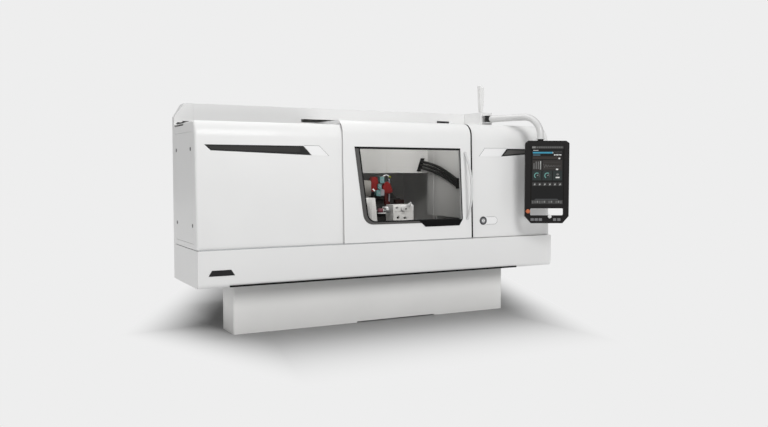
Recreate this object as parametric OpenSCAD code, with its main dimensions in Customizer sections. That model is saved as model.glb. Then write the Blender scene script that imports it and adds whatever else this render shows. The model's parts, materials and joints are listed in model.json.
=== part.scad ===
// Cylindrical grinder: enclosed machine with a sliding door, a swing-arm control panel,
// a long slide with workhead and tailstock, and a wheelhead on a cross slide.
// Millimetres, +X to the operator's right, +Y away from the operator, +Z up.
// X = 0 is the middle of the length, Y = 0 the middle of the depth, Z = 0 the floor.

/* [Overall] */
// Length of the enclosure
body_len = 3500; // [3300:10:3700]
// Depth from the skirt's front to the back of the machine
body_depth = 2000; // [1900:10:2200]
// Thickness of the folded sheet covers
sheet = 4; // [2:0.5:6]

/* [Skirt] */
// Height of the skirt's underside above the floor
skirt_low = 425; // [400:5:450]
// Height of the seam between the skirt and the covers
skirt_top = 725; // [700:5:750]
// Width of the seam between the skirt and the covers
skirt_seam = 6; // [3:1:10]
// Depth of the skirt's and the covers' end walls
front_depth = 727; // [700:1:760]
// Radius of the skirt's lower front edge
skirt_edge_r = 38; // [20:1:60]

/* [Covers] */
// Setback of the covers from the skirt at the seam
cover_setback = 30; // [24:1:40]
// Angle by which the cover faces lean back
cover_lean = 1.55; // [1:0.05:2]
// Height of the right cover's flat roof
roof_z = 1791; // [1780:1:1800]
// Radius of the brow between face and roof
brow_r = 190; // [150:5:220]
// Angle at which the brow turns into the roof edge
brow_end = 63.5; // [55:0.5:70]
// Radius of the roof edge
roof_edge_r = 25; // [15:1:35]
// Height of the left cover's lower, flat top
left_top = 1746; // [1735:1:1750]
// Radius of the covers' outer vertical edges
end_r = 18; // [10:1:25]
// Length of the left cover
left_len = 1300; // [1280:5:1320]
// Gap between the closed door and the right cover
door_gap = 11; // [6:1:16]

/* [Door] */
// Distance of the door's left edge from the enclosure's left end
door_from_left = 1262; // [1250:1:1275]
// Width of the door
door_w = 1310; // [1290:1:1320]
// Setback of the door's foot from the skirt's front
door_setback = 9; // [6:1:11]
// Height of the door's foot above the skirt seam
door_foot = 7; // [5:1:10]
// Angle by which the door's face leans back
door_lean = 1.9; // [1.7:0.05:2.1]
// Height of the door hood's roof
hood_z = 1789; // [1786:1:1791]
// Radius of the door's brow
door_brow_r = 120; // [100:5:140]
// Depth of the flange on the door's right edge
door_flange = 60; // [30:5:80]
// Thickness of the window pane
glass_t = 6; // [4:1:8]
// Width of the window frame's band
frame_band = 20; // [16:1:24]
// Diameter of the door handle's bar
handle_d = 22; // [18:1:28]
// Distance from the door's face to the handle bar at its middle
handle_reach = 88; // [60:1:100]

/* [Rear housing] */
// Height of the rear housing
rear_top = 1929; // [1910:1:1960]
// Distance of the rear housing's right end from the enclosure's left end
rear_len = 2958; // [2940:1:2970]
// Width of the chamfer on the rear housing's upper left corner
rear_chamfer = 92; // [70:1:110]
// Size of the plan chamfer at the left rear
plan_chamfer = 300; // [280:5:310]

/* [Bed] */
// Length of the bed's front bar
bar_len = 2715; // [2650:5:2800]
// Distance of the bar's left end from the enclosure's left end
bar_from_left = 341; // [330:1:360]
// Setback of the bar's front from the skirt's front
bar_setback = 200; // [180:5:230]
// Depth of the bar
bar_depth = 310; // [290:5:330]
// Radius of the bar's vertical corners
bar_r = 20; // [10:1:30]
// Height of the bed's top under the ways
bed_top = 600; // [590:5:610]
// Length of the table ways
way_len = 2600; // [2580:10:2700]
// Diameter of the levelling pads
pad_d = 120; // [100:5:140]

/* [Table] */
// Height of the work axis above the floor
work_axis_z = 975; // [960:1:990]
// Setback of the work axis from the skirt's front
work_setback = 550; // [545:1:565]
// Height of the work axis above the table's top
centre_height = 175; // [165:1:180]
// Length of the long slide and the swivel table
table_len = 1500; // [1450:10:1520]
// Width of the long slide and the swivel table
table_w = 200; // [190:2:210]
// Thickness of the swivel table
swivel_table_t = 68; // [60:1:72]
// Diameter of the table screw
table_screw_d = 32; // [26:1:36]

/* [Workhead and tailstock] */
// Length of the workhead along the work axis
head_len = 300; // [280:5:320]
// Width of the workhead
head_w = 200; // [180:2:210]
// Height of the workhead's top above the work axis
head_rise = 125; // [110:1:135]
// Distance of the workhead's nose face from the middle of the table
head_nose_x = 25; // [15:1:29]
// Diameter of the work spindle's flange
spindle_d = 110; // [90:2:120]
// Diameter of the taper centres
centre_d = 26; // [20:1:32]
// Distance of the tailstock's face from the middle of the table
tail_x = 240; // [236:2:260]
// Length of the tailstock
tail_len = 220; // [200:5:240]
// Width of the tailstock
tail_w = 150; // [140:2:160]
// Height of the tailstock's top above the work axis
tail_rise = 55; // [50:1:65]
// Diameter of the quill
quill_d = 50; // [44:1:54]

/* [Grinding wheel] */
// Diameter of the grinding wheel
wheel_d = 500; // [450:5:500]
// Width of the grinding wheel
wheel_t = 55; // [40:1:60]
// Setback of the wheel's axis from the skirt's front
wheel_setback = 950; // [945:1:970]
// Distance of the wheel's middle from the middle of the table
wheel_x = 78; // [76:1:80]
// Diameter of the wheelhead's spindle housing
spindle_housing_d = 200; // [180:5:220]
// Length of the wheelhead's housing
wheelhead_len = 430; // [400:5:450]
// Diameter of the infeed screw
infeed_screw_d = 28; // [24:1:32]

/* [Console and arm] */
// Distance of the console's left face from the enclosure's left end
console_from_left = 2955; // [2950:1:2956]
// Length of the console
console_len = 135; // [130:1:150]
// Setback of the console's front from the skirt's front
console_setback = 430; // [425:1:440]
// Diameter of the arm tube
tube_d = 64; // [56:1:68]
// Radius of the bend in the arm tube
tube_bend = 185; // [170:5:200]
// Height of the arm tube's axis
arm_z = 1862; // [1858:1:1866]
// Distance from the arm's pivot to the mast
arm_reach = 600.8; // [590:0.1:610]
// Direction of the arm from +X, towards the operator
arm_angle = 71.6; // [68:0.1:75]
// Height of the signal lamp
lamp_h = 270; // [240:5:280]

/* [Control panel] */
// Width of the control panel
panel_w = 412; // [400:2:420]
// Height of the control panel
panel_h = 773; // [765:1:780]
// Thickness of the control panel
panel_t = 58; // [50:1:66]
// Height of the panel's middle
panel_z = 1246; // [1244:1:1248]
// Angle by which the panel faces left
panel_turn = 28; // [20:1:32]
// Width of the display area
display_w = 314; // [310:1:318]
// Height of the display area
display_h = 543; // [538:1:546]
// Width of the handle opening
grip_w = 313; // [306:1:316]
// Height of the handle opening
grip_h = 66; // [60:1:70]
// Diameter of the emergency stop's head
stop_d = 40; // [36:1:42]
// Travel clearance of a push button
key_gap = 0.5; // [0.4:0.1:0.8]
// Number of push buttons
key_count = 5; // [3:1:5]

/* [Hidden] */

left_x = -body_len / 2;
right_x = body_len / 2;
front_y = -body_depth / 2;
back_y = body_depth / 2;
seam_low = skirt_top - skirt_seam / 2;
cover_low = skirt_top + skirt_seam / 2;
joint_y = front_y + front_depth;
part_gap = 0.4;
slide_gap = 0.4;
end_steps = 4;
brow_steps = 10;

// Leaning face line: y at height z
function face_y(setback, lean, z) = front_y + setback + (z - skirt_top) * tan(lean);
function arc(cy, cz, r, a0, a1, n) =
  [for (i = [0:n]) let (a = a0 + (a1 - a0) * i / n) [cy - r * cos(a), cz + r * sin(a)]];

// Points of the arc of radius r that rounds corner b between a and c
function fillet(a, b, c, r, n) =
  let (u = (a - b) / norm(a - b), v = (c - b) / norm(c - b), half = acos(u * v) / 2)
  let (m = b + (u + v) / norm(u + v) * r / sin(half), p = b + u * r / tan(half) - m, q = b + v * r / tan(half) - m)
  let (a0 = atan2(p[1], p[0]), turn = atan2(p[0] * q[1] - p[1] * q[0], p * q))
  [for (i = [0:n]) m + r * [cos(a0 + turn * i / n), sin(a0 + turn * i / n)]];

// Side outline of a cover (y, z), offset inwards by d: leaning face, brow arc, roof edge, roof
function cover_outline(d, low, back, top) =
  let (cz = roof_z - roof_edge_r * (1 - sin(brow_end)) - brow_r * sin(brow_end))
  let (cy = face_y(cover_setback, cover_lean, cz) + brow_r / cos(cover_lean))
  let (cut = top < roof_z - 1)
  let (end = cut ? asin((top - d - cz) / (brow_r - d)) : brow_end)
  let (ey = cy - (brow_r - roof_edge_r) * cos(brow_end))
  let (ez = cz + (brow_r - roof_edge_r) * sin(brow_end))
  concat(
    [[back, low], [face_y(cover_setback, cover_lean, low) + d / cos(cover_lean), low]],
    arc(cy, cz, brow_r - d, cover_lean, end, brow_steps),
    cut ? [] : arc(ey, ez, max(roof_edge_r - d, 1), brow_end + 5, 90, 4),
    [[back, top - d]]
  );

// Side outline of the door hood (y, z), offset inwards by d
function door_outline(d, low, back) =
  let (cz = hood_z - door_brow_r)
  let (cy = face_y(door_setback, door_lean, cz) + door_brow_r / cos(door_lean))
  concat(
    [[back, low], [face_y(door_setback, door_lean, low) + d / cos(door_lean), low]],
    arc(cy, cz, door_brow_r - d, door_lean, 90, brow_steps),
    [[back, hood_z - d]]
  );

// Extrudes a (y, z) outline from x0 to x1
module along_x(x0, x1) {
  translate([x0, 0, 0]) rotate([90, 0, 90]) linear_extrude(x1 - x0) children();
}

// Extrudes an (x, z) outline from y0 to y1
module along_y(y0, y1) {
  translate([0, y1, 0]) rotate([90, 0, 0]) linear_extrude(y1 - y0) children();
}

// Box between two corners
module box(low, high) {
  translate(low) cube(high - low);
}

// Rectangular plate with rounded vertical edges
module rounded_bar(low, high, r) {
  translate([0, 0, low[2]])
    linear_extrude(high[2] - low[2])
      rounded_rectangle([low[0], low[1]], [high[0], high[1]], r);
}

module rounded_rectangle(low, high, r) {
  union() {
    translate([low[0] + r, low[1]]) square([high[0] - low[0] - 2 * r, high[1] - low[1]]);
    translate([low[0], low[1] + r]) square([high[0] - low[0], high[1] - low[1] - 2 * r]);
    for (x = [low[0] + r, high[0] - r], y = [low[1] + r, high[1] - r]) translate([x, y]) circle(r, $fn = 48);
  }
}

// Work plane on a leaning face: x along the machine, y up the face, z out of it
module on_cover() {
  translate([0, face_y(cover_setback, cover_lean, skirt_top), skirt_top]) rotate([90 - cover_lean, 0, 0]) children();
}
module on_door() {
  translate([0, face_y(door_setback, door_lean, skirt_top), skirt_top]) rotate([90 - door_lean, 0, 0]) children();
}

// ---------------------------------------------------------------- bed

bar_x0 = left_x + bar_from_left;
bar_x1 = bar_x0 + bar_len;
bar_y0 = front_y + bar_setback;
bar_y1 = bar_y0 + bar_depth;
work_y = front_y + work_setback;
wheel_y = front_y + wheel_setback;
slab_low = skirt_low + sheet;
slab_over = 190;
head_body_x0 = wheel_x + 52;
infeed_x = head_body_x0 + 210;
base_x0 = infeed_x - 250;
base_x1 = infeed_x + 220;
leg_over = 40;
leg_len = 1550;
leg_x1 = base_x1 + leg_over;
leg_x0 = leg_x1 - leg_len;
leg_from_back = 100;
leg_y1 = back_y - leg_from_back;
way_in = 69;
way_x0 = bar_x0 - slab_over + way_in;
way_x1 = way_x0 + way_len;
way_h = 34;
vee_y = work_y - 70;
flat_y = work_y + 70;
way_w = 60;
slab_y1 = flat_y + way_w / 2 + 20;
base_h = 60;
infeed_way_w = 50;
infeed_way_span = 300;
infeed_way_h = 16;
base_top = bed_top + base_h;
pad_h = 22;
pad_stud_d = 24;
pad_pocket = 26;
pad_xs = [bar_x0 + 150, (bar_x0 + bar_x1) / 2, bar_x1 - 150];
pad_rear_xs = [leg_x0 + 150, leg_x1 - 150];
notch_x0 = left_x + 1472;
notch_len = 807;
notch_h = 10;

function pad_places() = concat(
  [for (x = pad_xs) [x, (bar_y0 + bar_y1) / 2]],
  [for (x = pad_rear_xs) [x, leg_y1 - 150]]
);

module vee_way(x0, x1, w, h, z) {
  along_x(x0, x1) polygon([[-w / 2, z], [w / 2, z], [w / 2, z + h / 3], [0, z + h], [-w / 2, z + h / 3]]);
}

module machine_bed() {
  color([0.80, 0.80, 0.80])
  difference() {
    union() {
      rounded_bar([bar_x0, bar_y0, 0], [bar_x1, bar_y1, bed_top], bar_r);
      box([leg_x0, bar_y1 - 1, 0], [leg_x1, leg_y1, bed_top]);
      box([bar_x0 - slab_over, bar_y0, slab_low], [bar_x1, slab_y1, bed_top]);
      translate([0, vee_y, 0]) vee_way(way_x0, way_x1, way_w, way_h, bed_top);
      box([way_x0, flat_y - way_w / 2, bed_top], [way_x1, flat_y + way_w / 2, bed_top + way_h / 3]);
      box([base_x0, slab_y1 + 10, bed_top - 1], [base_x1, leg_y1, base_top]);
      for (s = [-1, 1])
        box(
          [infeed_x + s * infeed_way_span / 2 - infeed_way_w / 2, slab_y1 + 10, base_top - 1],
          [infeed_x + s * infeed_way_span / 2 + infeed_way_w / 2, leg_y1, base_top + infeed_way_h]
        );
      for (x = [way_x0 - bearing_t, way_x0 + way_len]) translate([x, work_y, screw_z]) bearing_block(table_screw_d / 2 + screw_fit);
      for (y = [infeed_y0, leg_y1 - 90]) infeed_bearing(y);
    }
    for (p = pad_places()) translate([p[0], p[1], -1]) cylinder(h = pad_pocket + 1, d = pad_d + 10, $fn = 64);
    box([notch_x0, bar_y0 - 1, -1], [notch_x0 + notch_len, bar_y0 + 60, notch_h]);
  }
}

module levelling_pads() {
  color([0.35, 0.35, 0.36])
  for (p = pad_places()) translate([p[0], p[1], 0]) {
    cylinder(h = pad_h - 8, d = pad_d, $fn = 64);
    translate([0, 0, pad_h - 8]) cylinder(h = 8, d1 = pad_d - 20, d2 = pad_d - 60, $fn = 64);
    cylinder(h = pad_pocket, d = pad_stud_d, $fn = 48);
  }
}

// ---------------------------------------------------------------- skirt

shelf_w = 60;
strip_in = 15;
strip_w = 10;
bed_clear = 0.5;
badge_t = 2;

module skirt() {
  color([0.86, 0.86, 0.85])
  difference() {
    union() {
      difference() {
        along_x(left_x, right_x) polygon(skirt_outline(0));
        along_x(left_x + sheet, right_x - sheet) polygon(skirt_outline(sheet));
      }
      seat_strip(front_y + cover_setback + strip_in);
    }
    box(
      [left_x + shelf_w, front_y + shelf_w + cover_setback, seam_low - sheet - 1],
      [right_x - shelf_w, joint_y + 1, cover_low + 1]
    );
    rounded_bar(
      [bar_x0 - bed_clear, bar_y0 - bed_clear, skirt_low - 1],
      [bar_x1 + bed_clear, bar_y1 + bed_clear, slab_low + 1], bar_r
    );
    box([leg_x0 - bed_clear, bar_y1 - 1, skirt_low - 1], [leg_x1 + bed_clear, joint_y + 1, slab_low + 1]);
  }
}

// Skirt section (y, z), offset inwards by d, open at the back
function skirt_outline(d) = concat(
  [[joint_y + d, seam_low - d], [joint_y + d, skirt_low + d]],
  [for (i = [0:8]) let (a = 270 - 90 * i / 8)
    [front_y + skirt_edge_r + (skirt_edge_r - d) * cos(a), skirt_low + skirt_edge_r + (skirt_edge_r - d) * sin(a)]],
  [[front_y + d, seam_low - d]]
);

// Raised strip that carries the covers and leaves the shadow seam
module seat_strip(y) {
  difference() {
    box([left_x + strip_in, y, seam_low - sheet], [right_x - strip_in, joint_y, cover_low]);
    box([left_x + strip_in + strip_w, y + strip_w, seam_low - sheet - 1], [right_x - strip_in - strip_w, joint_y + 1, cover_low + 1]);
  }
}

module skirt_badge_plate() {
  color([0.08, 0.08, 0.09])
  translate([left_x, 0, 0]) along_y(front_y - badge_t, front_y)
    polygon([[83, 521], [297, 521], [266, 567], [111, 567]]);
}

// ---------------------------------------------------------------- covers

left_x1 = left_x + left_len;
door_x0 = left_x + door_from_left;
door_x1 = door_x0 + door_w;
right_x0 = door_x1 + door_gap;
return_w = 26;
rail_notch_h = 3;
wall_x = right_x0 + 37;
lip_w = 20;
panel_fit = 2.5;
latch_d = 30;
latch_t = 2;
label_t = 1.5;

// Solid run of the cover outline with rounded ends: r0 at x0, r1 at x1
module cover_run(x0, x1, r0, r1, d, low, back, top) {
  hull() {
    for (i = [0:end_steps]) let (a = 90 * i / end_steps) {
      along_x(x0 + r0 * (1 - cos(a)), x0 + r0 * (1 - cos(a)) + 0.01)
        polygon(cover_outline(d + r0 * (1 - sin(a)), low, back, top));
      along_x(x1 - r1 * (1 - cos(a)) - 0.01, x1 - r1 * (1 - cos(a)))
        polygon(cover_outline(d + r1 * (1 - sin(a)), low, back, top));
    }
  }
}

// Folded cover from x0 to x1; the end at +side is the outer, rounded one
module cover_shell(x0, x1, side, top, back_wall_x) {
  r0 = side < 0 ? end_r : 0;
  r1 = side > 0 ? end_r : 0;
  inner_x = side < 0 ? x1 : x0;
  shelf_x0 = side < 0 ? x0 + shelf_w - sheet : x0 - 1;
  shelf_x1 = side < 0 ? x1 + 1 : x1 - shelf_w + sheet;
  difference() {
    cover_run(x0, x1, r0, r1, 0, cover_low, joint_y, top);
    cover_run(
      x0 + sheet, x1 - sheet, max(r0 - sheet, 0), max(r1 - sheet, 0), sheet,
      cover_low + sheet, joint_y - sheet, top
    );
    box([shelf_x0, front_y + cover_setback + shelf_w, cover_low - 1], [shelf_x1, joint_y + 1, cover_low + sheet + 1]);
    along_x(inner_x - sheet - 1, inner_x + sheet + 1) polygon(cover_outline(return_w, cover_low + sheet, joint_y + 1, top));
    rail_notch(x0 - 1, x0 + sheet + 1);
    if (back_wall_x > x0)
      box([x0 + 2 * sheet, joint_y - 2 * sheet, cover_low + 2 * sheet], [back_wall_x, joint_y + 1, top - return_w - sheet]);
    side_opening(side);
  }
}

// Passage for the door rail through a flange
module rail_notch(x0, x1) {
  box([x0, rail_y - rail_plate_w / 2 - rail_notch_h, left_top - return_w], [x1, joint_y + 1, rail_top + rail_notch_h]);
}

// Service panel outline on the end wall (y, z), shrunk by d
function service_outline(d) = [
  [front_y + 115 + d, 770 + d], [front_y + 685 - d, 770 + d],
  [front_y + 685 - d, 1660 - d], [front_y + 165 + d, 1660 - d]
];

module side_opening(side) {
  x = side < 0 ? left_x : right_x - sheet;
  along_x(x - 1, x + sheet + 1) polygon(service_outline(0));
}

// Inner frame that the service panel closes against
module side_lip(side) {
  x = side < 0 ? left_x + sheet : right_x - 2 * sheet;
  difference() {
    along_x(x, x + sheet) polygon(service_outline(-lip_w));
    along_x(x - 1, x + sheet + 1) polygon(service_outline(lip_w));
  }
}

module service_panel(side) {
  x = side < 0 ? left_x : right_x - sheet;
  color([0.76, 0.76, 0.76]) along_x(x, x + sheet) polygon(service_outline(panel_fit));
}

module left_cover() {
  color([0.88, 0.88, 0.87])
  difference() {
    union() {
      cover_shell(left_x, left_x1, -1, left_top, left_x1 - shelf_w);
      side_lip(-1);
    }
    on_cover() translate([0, 0, -sheet - 1]) linear_extrude(sheet + 2) polygon(stripe_outline(0));
  }
}

module right_cover() {
  color([0.88, 0.88, 0.87])
  difference() {
    union() {
      cover_shell(right_x0, right_x, 1, roof_z, wall_x + sheet);
      side_lip(1);
    }
    table_pass();
    on_cover() translate([0, 0, -sheet - 1]) linear_extrude(sheet + 2) polygon(right_stripe_outline(0));
  }
}

module left_service_panel() { service_panel(-1); }
module right_service_panel() { service_panel(1); }

// Slotted quarter-turn latches of both service panels
module service_latches() {
  color([0.30, 0.30, 0.31])
  for (side = [-1, 1], p = [[185, 1523], [653, 1523], [650, 915], [145, 915]])
    translate([side < 0 ? left_x : right_x, front_y + p[0], p[1]]) rotate([0, side * 90, 0])
      difference() {
        cylinder(h = latch_t, d = latch_d, $fn = 48);
        translate([-latch_d / 3, -2, 1]) cube([latch_d / 1.5, 4, latch_t]);
      }
}

// Outlines on the cover's face (x, height above the seam)
function stripe_outline(d) = [
  [left_x + 75 + 1.5 * d, 833 - d], [left_x + 908 - d, 833 - d],
  [left_x + 980 - 1.5 * d, 756 + d], [left_x + 125 + d, 786 + d]
];
function right_stripe_outline(d) = [
  [left_x + 2993 + d, 837 - d], [right_x - 150 - d, 837 - d],
  [right_x - 200 - d, 790 + d], [left_x + 2925 + 1.5 * d, 762 + d]
];

// Recessed tray that fills a cut-out in the cover's face
module stripe_tray(points, inner) {
  on_cover() difference() {
    translate([0, 0, -sheet]) linear_extrude(sheet) polygon(points);
    translate([0, 0, -stripe_recess]) linear_extrude(sheet) polygon(inner);
  }
}
stripe_recess = 2;
stripe_border = 10;
stripe_band = 34;

module left_stripe() {
  color([0.10, 0.10, 0.11])
  stripe_tray(stripe_outline(part_gap), [
    [left_x + 75 + 2.2 * stripe_border, 833 - stripe_border], [left_x + 908 - stripe_band, 833 - stripe_border],
    [left_x + 980 - 3 * stripe_band, 761 + stripe_border], [left_x + 125 + stripe_border, 786 + stripe_border]
  ]);
}

module right_stripe() {
  color([0.10, 0.10, 0.11])
  stripe_tray(right_stripe_outline(part_gap), right_stripe_outline(stripe_border));
}

// Bare plates on the left and the right cover
module label_plates() {
  color([0.90, 0.90, 0.90])
  on_cover() linear_extrude(label_t) {
    polygon([[left_x + 912, 835], [left_x + 1048, 835], [left_x + 1137, 752], [left_x + 983, 756]]);
    polygon([[left_x + 2736, 837], [left_x + 2987, 840], [left_x + 2919, 760], [left_x + 2675, 763]]);
  }
}

lock_x = left_x + 2711;
lock_s = 158;
lock_d = 78;
pill_h = 70;

// Round lock with a bevelled rim and a key slot
module lock_rosette() {
  color([0.20, 0.20, 0.21])
  on_cover() translate([lock_x, lock_s, 0]) difference() {
    union() {
      cylinder(h = 4, d = lock_d, $fn = 96);
      translate([0, 0, 4]) cylinder(h = 4, d1 = lock_d, d2 = lock_d - 14, $fn = 96);
    }
    translate([0, 0, 4]) cylinder(h = 5, d = lock_d - 26, $fn = 96);
  }
}

module pill_plate() {
  color([0.90, 0.90, 0.90])
  on_cover() difference() {
    linear_extrude(label_t)
      rounded_rectangle([lock_x, lock_s - pill_h / 2], [left_x + 2873, lock_s + pill_h / 2], pill_h / 2 - 0.5);
    translate([lock_x, lock_s, -1]) cylinder(h = 4, d = lock_d + 2 * part_gap, $fn = 96);
  }
}

// ---------------------------------------------------------------- door

hood_back = joint_y - 12;
foot_z = skirt_top + door_foot;
rail_plate_t = 4;
rail_plate_w = 250;
rail_y = front_y + 535;
rail_w = 16;
rail_h = 8;
rail_span = 190;
rail_top = left_top + rail_plate_t + rail_h;
carriage_len = 90;
carriage_w = 36;
lower_rail_w = 6;
lower_rail_h = 9;
lower_rail_y = front_y + 21;
shoe_len = 70;
frame_t = 3;
frame_left_band = 50;
frame_low_band = 29;
window_corner = 98;
pane_corner = 76;
face_gap = 0.02;
corner_steps = 8;

// Window outline on the door's face (x, height above the seam), shrunk by band widths
function window_outline() = concat(
  [
    [left_x + 1370, 834], [left_x + 2449, 832], [left_x + 2469, 182], [left_x + 2430, 124],
    [left_x + 2068, 123], [left_x + 2030, 158]
  ],
  fillet([left_x + 2030, 158], [left_x + 1454, 160], [left_x + 1370, 834], window_corner, corner_steps)
);
function pane_outline(d) =
  let (corner = [left_x + 1448 + frame_left_band + d, 160 + frame_low_band + d])
  let (top = [left_x + 1370 + frame_left_band + d, 834 - frame_band - d])
  let (low = [left_x + 2463 - frame_band - d, 160 + frame_low_band + d])
  concat([top, [left_x + 2449 - frame_band - d, 832 - frame_band - d], low], fillet(low, corner, top, pane_corner - d, corner_steps));

module door_shell() {
  color([0.90, 0.90, 0.89])
  difference() {
    along_x(door_x0, door_x1) polygon(door_outline(0, foot_z, hood_back));
    along_x(door_x0 + sheet, door_x1 - sheet) polygon(door_outline(sheet, foot_z - 1, hood_back + 1));
    along_x(door_x1 - sheet - 1, door_x1 + 1) polygon(door_outline(door_flange, foot_z - 1, hood_back + 1));
    rail_notch(door_x1 - sheet - 1, door_x1 + 1);
    difference() {
      along_x(door_x0 - 1, door_x0 + sheet + 1) polygon(door_outline(sheet, foot_z - 1, hood_back + 1));
      box([door_x0 - 2, front_y, left_top + 2 * rail_plate_t], [door_x0 + 2 * sheet, joint_y, hood_z + 1]);
    }
    for (s = [-1, 1])
      box(
        [door_x0 - 1, rail_y + s * rail_span / 2 - rail_w, left_top],
        [door_x0 + sheet + 1, rail_y + s * rail_span / 2 + rail_w, rail_top + 2]
      );
    on_door() translate([0, 0, -sheet - 1]) linear_extrude(sheet + 2) polygon(pane_outline(-2));
  }
}

module window_frame() {
  color([0.22, 0.22, 0.23])
  on_door() translate([0, 0, face_gap]) linear_extrude(frame_t) difference() {
    polygon(window_outline());
    polygon(pane_outline(0));
  }
}

module window_glass() {
  color([0.55, 0.60, 0.62, 0.35])
  on_door() translate([0, 0, -sheet - glass_t - face_gap]) linear_extrude(glass_t) polygon(pane_outline(-14));
}

module door_label_plate() {
  color([0.06, 0.06, 0.07])
  on_door() translate([0, 0, frame_t + face_gap]) linear_extrude(label_t)
    polygon([[left_x + 2001, 179], [left_x + 2466, 180], [left_x + 2429, 125], [left_x + 2068, 124]]);
}

handle_top = [left_x + 2500, 790];
handle_foot = [left_x + 2520, 187];
handle_t = 12;
handle_chord = norm(handle_top - handle_foot);
handle_tilt = -atan2(handle_top[0] - handle_foot[0], handle_top[1] - handle_foot[1]);
handle_r = (handle_chord * handle_chord / 4 + handle_reach * handle_reach) / (2 * handle_reach);
handle_half = asin(handle_chord / 2 / handle_r);

// Bow handle: an arc of flat bar on two feet
module door_handle() {
  mid = (handle_top + handle_foot) / 2;
  color([0.82, 0.82, 0.83])
  on_door() translate([mid[0], mid[1], handle_t / 2]) rotate([0, 0, handle_tilt]) {
    translate([0, 0, handle_reach - handle_r]) rotate([0, -90, 0]) rotate([0, 0, -handle_half])
      rotate_extrude(angle = 2 * handle_half, $fn = 240) translate([handle_r, 0])
        rounded_rectangle([-handle_t / 2, -handle_d / 2], [handle_t / 2, handle_d / 2], handle_t / 2 - 0.5);
    for (s = [-1, 1]) translate([0, s * handle_chord / 2, -handle_t / 2]) cylinder(h = handle_t, d = handle_d + 4, $fn = 48);
  }
}

module door_rail() {
  color([0.07, 0.07, 0.08]) {
    box([left_x, rail_y - rail_plate_w / 2, left_top], [wall_x + sheet, rail_y + rail_plate_w / 2, left_top + rail_plate_t]);
    for (s = [-1, 1])
      box(
        [left_x + sheet, rail_y + s * rail_span / 2 - rail_w / 2, left_top + rail_plate_t - 1],
        [wall_x, rail_y + s * rail_span / 2 + rail_w / 2, rail_top]
      );
  }
}

// Carriages under the hood, each gripping its rail from above, and nylon shoes at the door's foot
module door_guides() {
  rail_carriages();
  foot_shoes();
}

module rail_carriages() {
  color([0.55, 0.56, 0.58])
  for (s = [-1, 1], x = [door_x0 + 80, door_x1 - 200])
    difference() {
      box(
        [x, rail_y + s * rail_span / 2 - carriage_w / 2, left_top + rail_plate_t + 2],
        [x + carriage_len, rail_y + s * rail_span / 2 + carriage_w / 2, hood_z - sheet]
      );
      box(
        [x - 1, rail_y + s * rail_span / 2 - rail_w / 2 - slide_gap, left_top],
        [x + carriage_len + 1, rail_y + s * rail_span / 2 + rail_w / 2 + slide_gap, rail_top + slide_gap]
      );
    }
}

module door_lower_rail() {
  color([0.60, 0.60, 0.60])
  box([left_x + 20, lower_rail_y - lower_rail_w / 2, seam_low], [door_x1, lower_rail_y + lower_rail_w / 2, seam_low + lower_rail_h]);
}

module foot_shoes() {
  color([0.12, 0.12, 0.12])
  for (x = [door_x0 + 60, door_x1 - 140])
    difference() {
      box([x, face_y(door_setback, door_lean, foot_z + 12) + sheet, foot_z], [x + shoe_len, lower_rail_y + 8, foot_z + 12]);
      box(
        [x - 1, lower_rail_y - lower_rail_w / 2 - slide_gap, foot_z - 1],
        [x + shoe_len + 1, lower_rail_y + lower_rail_w / 2 + slide_gap, seam_low + lower_rail_h + slide_gap]
      );
    }
}

// ---------------------------------------------------------------- rear housing

rear_x1 = left_x + rear_len;
rear_low = skirt_low + 3;
rear_end_y = joint_y + 63;
rear_left_x = left_x + plan_chamfer;
cap_seam_x = left_x + 166;
cap_gap = 0.8;
rear_drop = 121;
joint_drop = 20;
hood_slot = [left_x + 2626, left_x + 2770];
hood_slot_z = [1832, 1852];
table_travel = 280;
pass_gap = 20;
slot_x0 = left_x + 1162;
slot_x1 = left_x + 1502;
slot_z0 = 1796;
slot_z1 = 1827;
service_x0 = left_x + 600;
service_w = 900;
service_x1 = service_x0 + service_w;
service_z0 = 720;
service_z1 = 1720;

// Plan of the rear housing (x, y), offset inwards by d
function rear_plan(d) = [
  [left_x + d, joint_y + d], [rear_x1 - d, joint_y + d], [rear_x1 - d, back_y - d],
  [rear_left_x + d, back_y - d], [rear_left_x + d, rear_end_y + plan_chamfer + 0.4 * d], [left_x + d, rear_end_y + 0.4 * d]
];

// Slot behind the table's right end, which swings back through the joint when it is swivelled
module table_pass() {
  box(
    [wall_x, joint_y - 2 * sheet, cover_low - 1],
    [table_len / 2 + table_travel + pass_gap, joint_y + 2 * sheet, work_axis_z - centre_height + pass_gap]
  );
}

// Elevation of the rear housing (x, z), offset inwards by d
function rear_front(d) = [
  [left_x + d, rear_low - 2 * d], [rear_x1 - d, rear_low - 2 * d], [rear_x1 - d, rear_top - d],
  [left_x + rear_chamfer + 0.4 * d, rear_top - d], [left_x + d, rear_top - rear_drop - 0.4 * d]
];

module rear_solid(d) {
  intersection() {
    translate([0, 0, rear_low - 2 * d]) linear_extrude(rear_top - rear_low + 2 * d) polygon(rear_plan(d));
    along_y(joint_y - 1, back_y + 1) polygon(rear_front(d));
  }
}

module rear_shell() {
  difference() {
    rear_solid(0);
    rear_solid(sheet);
    table_pass();
    box([left_x + 50, joint_y - 1, rear_low - 1], [wall_x + sheet, joint_y + sheet + 1, left_top - joint_drop]);
    box([slot_x0, joint_y - 1, slot_z0], [slot_x1, joint_y + sheet + 1, slot_z1]);
    box([hood_slot[0], joint_y - 1, hood_slot_z[0]], [hood_slot[1], joint_y + sheet + 1, hood_slot_z[1]]);
    box([service_x0, back_y - sheet - 1, service_z0], [service_x1, back_y + 1, service_z1]);
  }
}

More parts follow.
